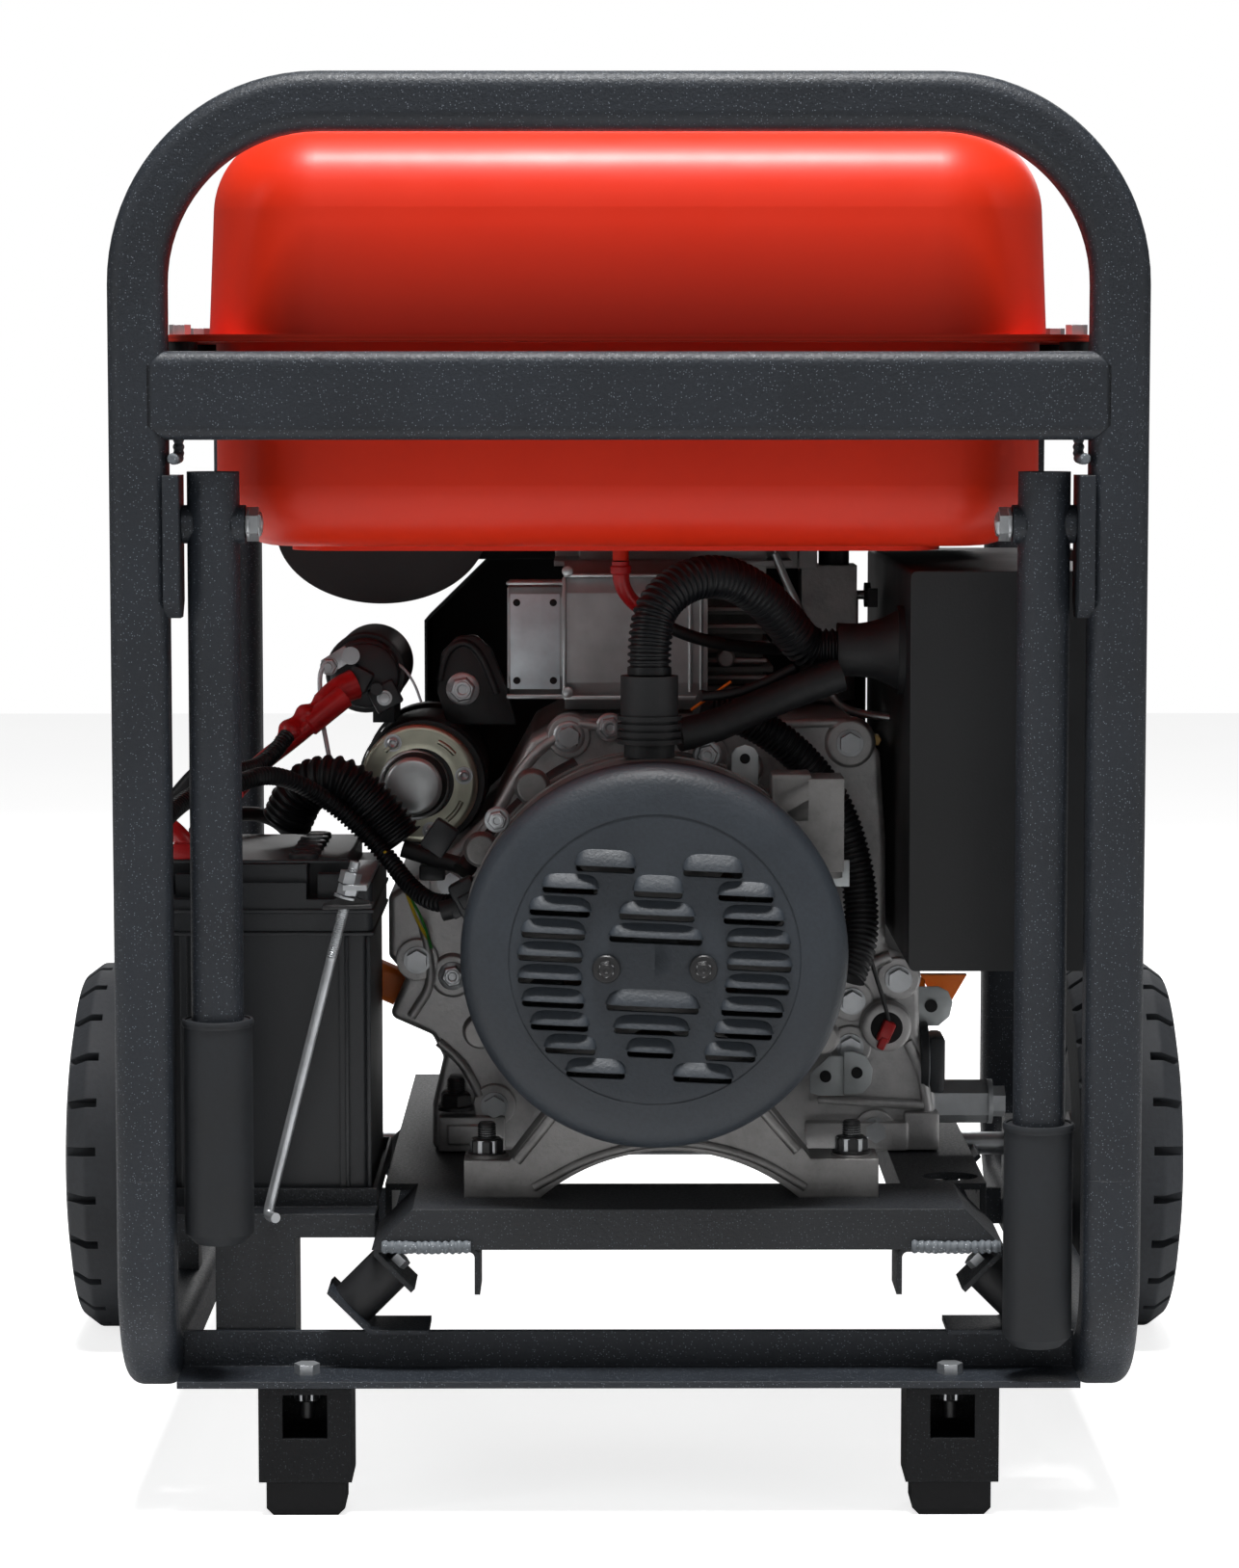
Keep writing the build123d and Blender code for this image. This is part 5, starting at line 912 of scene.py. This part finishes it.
for turn in (0, 120, 240):
    arc = []
    for step in range(6):
        angle = math.radians(turn + 10 * step)
        arc.append(
            (panel_high.x + 2.3, SOCKET_Y + SOCKET_RADIUS * math.cos(angle),
            OUTLET_Z + SOCKET_RADIUS * math.sin(angle))
        )
    dial.tube(arc, 1.5, segments=10, rounds=2)
dial.make("meter_bezel", BLACK_PLASTIC)

# ---- battery ----------------------------------------------------------------------------------

case_low, case_high = (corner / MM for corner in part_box("battery_case"))
lid_low, lid_high = (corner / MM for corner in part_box("battery_lid"))
battery = Piece()
# rolled rims that catch the light, and the upright ribs of the case
for rim_z, out in ((lid_low.z + 1.0, 1.0), (lid_low.z - 12.5, 0.8)):
    battery.block(
        (case_low.x - out, case_low.y - out - 0.6, rim_z - 1.0), (case_high.x + out, case_low.y + 2, rim_z + 1.2),
        0.6,
    )
    battery.block((case_high.x - 2, case_low.y, rim_z - 1.0), (case_high.x + out, case_high.y, rim_z + 1.2), 0.6)
for rib_x in (case_high.x - 2.5, case_high.x - 15.5, case_low.x + 10):
    battery.block(
        (rib_x - 1.2, case_low.y - 1.2, case_low.z + 4), (rib_x + 1.2, case_low.y + 1, lid_low.z - 14), 0.5,
    )
battery.make("battery_case_rims", BLACK_PLASTIC)
battery = Piece()
top = lid_high.z
CAP_PITCH = 24
battery.block((lid_low.x + 8, lid_low.y + 1, top - 0.4), (lid_high.x - 8, lid_low.y + 4, top + 1.2), 0.5)
battery.block((lid_low.x + 22, lid_low.y + 6, top - 0.4), (lid_low.x + 36, lid_low.y + 90, top + 2.2), 0.8)
for index in range(6):
    battery.lathe(
        [(-0.5, 9), (2.6, 8.8), (3.4, 8)], (lid_high.x - 42, lid_low.y + 22 + CAP_PITCH * index, top), UP, 28,
    )
    battery.block(
        (lid_high.x - 47, lid_low.y + 21 + CAP_PITCH * index, top + 3.0),
        (lid_high.x - 37, lid_low.y + 23 + CAP_PITCH * index, top + 4.0), 0.3
    )
battery.make("battery_vent_caps", BLACK_PLASTIC)
battery = Piece()
battery.block((lid_low.x + 10, lid_low.y + 18, top - 0.3), (lid_low.x + 30, lid_low.y + 40, top + 9), 1.6)
battery.tube(
    ((lid_low.x + 20, lid_low.y + 26, top + 6), (lid_low.x + 12, lid_low.y + 24, top + 16),
    (lid_low.x + 2, lid_low.y + 30, top + 22),
    (lid_low.x - 6, lid_low.y + 46, top + 10)), 5.6, step=1.2, segments=18,
)
battery.make("battery_positive_boot", RED_RUBBER)
# Runs that go on from starter_lead_conduit to the battery boot and from the thin loom to the hoop leg.
# The CAD has nothing here, and the red lead above them still ends in mid-air.
link = Piece()
link.tube(
    ((-240, -186, 424), (-254, -204, 430), (lid_low.x + 2, lid_low.y + 56, top + 26),
    (lid_low.x - 6, lid_low.y + 46, top + 10)),
    4.8, step=1.2, segments=16,
)
link.tube(
    ((-234, -215, 418), (-248, -232, 418), (-262, -262, 412), (-272, -301, 402)), corrugated(5.8, 1.3, 2.9),
    step=0.48, segments=16,
)
link.make("lead_and_loom_ends", CONDUIT)
battery = Piece()
battery.block((lid_low.x + 9, lid_high.y - 40, top - 0.3), (lid_low.x + 31, lid_high.y - 18, top + 8), 1.6)
battery.tube(
    ((lid_low.x + 20, lid_high.y - 28, top + 5), (lid_low.x + 34, lid_high.y - 10, top + 14),
    (lid_low.x + 56, lid_high.y + 16, top + 10),
    (lid_low.x + 70, lid_high.y + 50, top - 10)), 4.6, step=1.2, segments=18,
)
battery.make("battery_negative_boot", RUBBER)

# hold-down rod: rolled thread on its upper part, plated nut and clamp plate
ROD_TOP, ROD_FOOT = Vector((-159, -288, 379)), Vector((-210, -288, 178))
rod_axis = (ROD_FOOT - ROD_TOP).normalized()
rod = Piece()
thread = []
for step in range(170):
    along = 4 + step * 0.32
    thread.append((along, 3.15 + 0.28 * math.sin(step * 1.6)))
rod.lathe([(1.5, 2.4)] + thread + [(60, 3.0)], ROD_TOP, rod_axis, 22)
rod.hexagon(ROD_TOP + rod_axis * 14, rod_axis, 11.5, 6.5, 0.8, 10)
rod.lathe([(20.6, 7.4), (22.0, 7.4)], ROD_TOP, rod_axis, 28)
rod.make("hold_down_thread", ZINC)
rod = Piece()
rod.outline([(-13, -2), (13, -1), (13, 2), (3, 5), (-3, 5), (-13, 1)], (-163.5, -291.5, 354.5), RIGHT, UP, 2.0, 0.4)
rod.block((-178, -296, 352.0), (-149, -280, 354.4), 0.5, turn_y(-1.5))
rod.make("hold_down_plate", BLACK_STEEL)

# ---- frame: welds, pivot washers, grip lips ---------------------------------------------------

welds = Piece()


def weld(points, size=2.4):
    """Bead with the overlapping ripples of a hand weld."""
    welds.tube(
        points, lambda s: size * (1 + 0.3 * abs(math.sin(s * 0.8)) + 0.25 * noise.noise(Vector((s * 0.3, size,
        0)))), step=0.7, rounds=2,
    )


LEG_X = 258
FOOT_MIDDLE, FOOT_REACH = 36.5, 154.5
for side in (-1, 1):
    leg_x = side * LEG_X
    weld(((leg_x, -303.5, 614), (leg_x, -303.5, 640), (leg_x, -303.5, 666)))
    weld(((leg_x, -339, 666.5), (leg_x, -320, 667), (leg_x, -304, 666.5)))
    weld(((leg_x, -339, 613.5), (leg_x, -320, 613), (leg_x, -304, 613.5)))
for side in (-1, 1):
    middle = FOOT_MIDDLE + side * FOOT_REACH
    weld(((middle - 26, -304.6, 155), (middle, -305, 154.4), (middle + 26, -304.6, 155)), 3.0)
    weld(((middle - 26, -223, 152), (middle, -222, 151.5), (middle + 26, -223, 152)), 2.4)
# The bead coat is a lighter copy of the frame coat with bright flecks: painted glints on the weld ripples.
welds.make("weld_beads", powder_coat("weld_coat_painted_glints", (0.12, 0.135, 0.15), (0.60, 0.64, 0.68)))

pivots = Piece()
for side in (-1, 1):
    flange_bolt(pivots, (side * 217.4, -319, 576), (-side, 0, 0), 13, 9.5, 8)
    pivots.lathe(
        [(0, 11.5), (1.6, 11.5), (3.0, 9.0), (5.2, 7.5), (6.4, 4.0), (6.8, 0)], (side * LEG_X, -319, 576),
        (-side, 0, 0), 32,
    )
pivots.make("handle_pivot_heads", ZINC)

for side, name in ((-1, "left"), (1, "right")):
    low, high = (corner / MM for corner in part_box("grip_" + name))
    centre = ((low.x + high.x) / 2, (low.y + high.y) / 2, high.z)
    radius = (high.x - low.x) / 2
    lip = Piece()
    lip.lathe(
        [(-4, radius - 0.2), (-3, radius + 0.7), (-0.8, radius + 0.9), (0.6, radius + 0.2), (0.4, radius - 1.2),
        (-4, radius - 1.2), (-4, radius - 0.2)],
        centre, UP, 56, False,
    )
    lip.make("grip_lip_" + name, GRIP, "lift_handle_" + name)

# ---- heat shield folds, fuel line, links by the carburettor -----------------------------------

folds = Piece()
for low, high in (
    ((-75.5, -84, 531), (-38, -78, 533.5)), ((-75.5, -84.6, 459.5), (-38, -80, 462.5)),
    ((-39.5, -87.2, 536), (51, -82, 538.5)), ((-39.5, -88, 459), (51, -84, 462)),
    ((-40.4, -86.6, 462), (-37.8, -80, 536)),
):
    folds.block(low, high, 0.9)
for hole_x, hole_z in ((-37, 540), (-37, 464), (48, 540)):
    folds.lathe([(0, 3.6), (1.2, 3.4), (1.6, 2.6)], (hole_x, -87, hole_z), FRONT, 20)
for fold_x, size in ((40.0, 1.5), (46.8, 1.1)):
    folds.tube(((fold_x, -85.6, 464), (fold_x, -85.6, 500), (fold_x, -85.6, 536)), size, step=3.0, segments=12)
folds.make("shield_folds", STEEL_BRIGHT)
panel = Piece()
panel.outline([(0, 0), (31, 0), (31, 60), (0, 60)], (-73.0, -81.8, 465.5), RIGHT, UP, 0.8, 0.3)
panel.make(
    "shield_left_panel", brushed("bright_sheet", (0.72, 0.84, 0.90), 0.36, stretch=(40.0, 40.0, 220.0), metal=0.2),
)
# near-black discs in the shield holes: painted shade
holes = Piece()
for hole_x in (-69, -46):
    for hole_z in (471, 520):
        holes.lathe([(0, 2.3), (1.4, 2.3)], (hole_x, -81.6, hole_z), FRONT, 16)
holes.make("shield_holes", RECESS_SHADE)

# fin edges in the lighter aluminium copy: painted highlight along each fin
fins = Piece()
FIN_Z, FIN_PITCH = 470.7, 10.9
for index in range(5):
    fin_z = FIN_Z + FIN_PITCH * index
    fins.block((50.5, -48, fin_z - 1.4), (90, -39, fin_z + 1.4), 1.0)
fins.lathe([(0, 6.0), (5.5, 5.6), (6.6, 4.6)], (63.5, -46, 483), FRONT, 28)
fins.make("cylinder_fin_edges", CAST_LIT)

links = Piece()
links.tube(
    ((94, -60, 550), (100, -60, 535), (109, -60, 517), (118, -60, 494), (124, -60, 473), (133, -60, 456),
    (144, -60, 449), (168, -60, 446)), 2.6, segments=14,
)
links.tube(((110, -52, 474), (114, -52, 466), (117, -52, 456)), 1.6, step=1.2, segments=10)
links.tube(((92, -58, 560), (98, -58, 540), (104, -58, 520)), 1.4, step=1.2, segments=10)
links.make("throttle_links", STEEL_BRIGHT)
brass = Piece()
brass.hexagon((150, -64, 435), FRONT, 9, 5)
brass.hexagon((158, -62, 432), FRONT, 7, 4)
brass.make("brass_fittings", BRASS)
FUEL_ROUTE = (
    (-4, -150, 548.6), (-3.5, -149, 530), (14, -138, 514), (36, -132, 502), (64, -122, 495), (90, -100, 492),
    (101, -64, 490), (102, -22, 491), (104, 20, 492), (104, 61.8, 491),
)
fuel = Piece()
fuel.tube(FUEL_ROUTE[:3], lambda s: 6.4 if 3 < s < 8 else 5.4 - 0.03 * s, step=0.8, segments=20)
fuel.make("fuel_hose_boot", RED_RUBBER, replaces=("fuel_hose",))
fuel = Piece()
fuel.tube(FUEL_ROUTE, 3.9, segments=16)
fuel.make("fuel_hose_line", RUBBER)

# ---- camera, lights, floor ----------------------------------------------------------------

CAMERA_PLACE = Vector((-0.01541, -2.71129, 0.64489))
CAMERA_DOWN = math.radians(5.2)
CAMERA_RIGHT = math.radians(0.24)
CAMERA_LENS = 96.14

camera_data = bpy.data.cameras.new("camera")
camera_data.lens = CAMERA_LENS
camera_data.sensor_width = 36.0
camera_data.clip_end = 50.0
camera = bpy.data.objects.new("camera", camera_data)
camera.location = CAMERA_PLACE
camera.rotation_euler = (math.pi / 2 - CAMERA_DOWN, 0.0, -CAMERA_RIGHT)
bpy.context.scene.collection.objects.link(camera)
bpy.context.scene.camera = camera


def area_light(name, place, aim, width, height, power, color=(1, 1, 1)):
    data = bpy.data.lights.new(name, "AREA")
    data.shape = "RECTANGLE"
    data.size, data.size_y = width, height
    data.energy = power
    data.color = color
    light = bpy.data.objects.new(name, data)
    light.location = place
    light.rotation_euler = (Vector(aim) - Vector(place)).to_track_quat("-Z", "Y").to_euler()
    bpy.context.scene.collection.objects.link(light)


area_light("key_top", (0.0, -0.74, 3.1), (0, -0.30, 0.75), 1.0, 0.30, 118)
area_light("front_fill", (0.0, -3.6, 2.2), (0, 0, 0.4), 2.4, 1.2, 7)
area_light("front_left", (-2.6, -1.6, 1.2), (0, -0.2, 0.5), 0.5, 1.8, 10)
area_light("front_right", (2.6, -1.6, 1.2), (0, -0.2, 0.5), 0.5, 1.8, 7)
area_light("rear", (0.4, 2.8, 1.9), (0, 0, 0.5), 2.6, 1.4, 36)

AMBIENT = 0.11  # strength of the white surroundings, as the part sees them
FLOOR_GLOW = 0.78  # emission of the floor, as the camera sees it
world = bpy.data.worlds.new("studio")
world.use_nodes = True
background = world.node_tree.nodes["Background"]
background.inputs["Color"].default_value = (1.0, 1.0, 1.0, 1.0)
seen = world.node_tree.nodes.new("ShaderNodeLightPath")
level = world.node_tree.nodes.new("ShaderNodeMapRange")
level.inputs["To Min"].default_value = AMBIENT
level.inputs["To Max"].default_value = 1.0
world.node_tree.links.new(seen.outputs["Is Camera Ray"], level.inputs["Value"])
world.node_tree.links.new(level.outputs["Result"], background.inputs["Strength"])
bpy.context.scene.world = world
bpy.context.scene.view_settings.view_transform = "Standard"

floor_mesh = bpy.data.meshes.new("floor")
FLOOR_HALF = 6.0
floor_mesh.from_pydata(
    [(-FLOOR_HALF, -FLOOR_HALF, 0), (FLOOR_HALF, -FLOOR_HALF, 0), (FLOOR_HALF, FLOOR_HALF, 0),
    (-FLOOR_HALF, FLOOR_HALF, 0)],
    [],
    [(0, 1, 2, 3)],
)
floor = bpy.data.objects.new("floor", floor_mesh)
bpy.context.scene.collection.objects.link(floor)
paper = Shader("floor_paper")
paper_cloud = paper.noise(2.5, 3.0)
paper_fibre = paper.noise(300.0, 2.0)
paper.finish(
    paper.ramp(paper_cloud, ((0.3, grey(0.80)), (0.7, grey(0.84)))), paper.span(paper_fibre, 0.62, 0.75),
    paper.bump(paper_fibre, 0.0001), Emission_Color=(1.0, 1.0, 1.0, 1.0),
)
paper_seen = paper.node("ShaderNodeLightPath")
paper.link(
    paper.span(paper_seen.outputs["Is Camera Ray"], 0.0, FLOOR_GLOW, 0.0, 1.0),
    paper.shader.inputs["Emission Strength"],
)
floor_mesh.materials.append(paper.material)
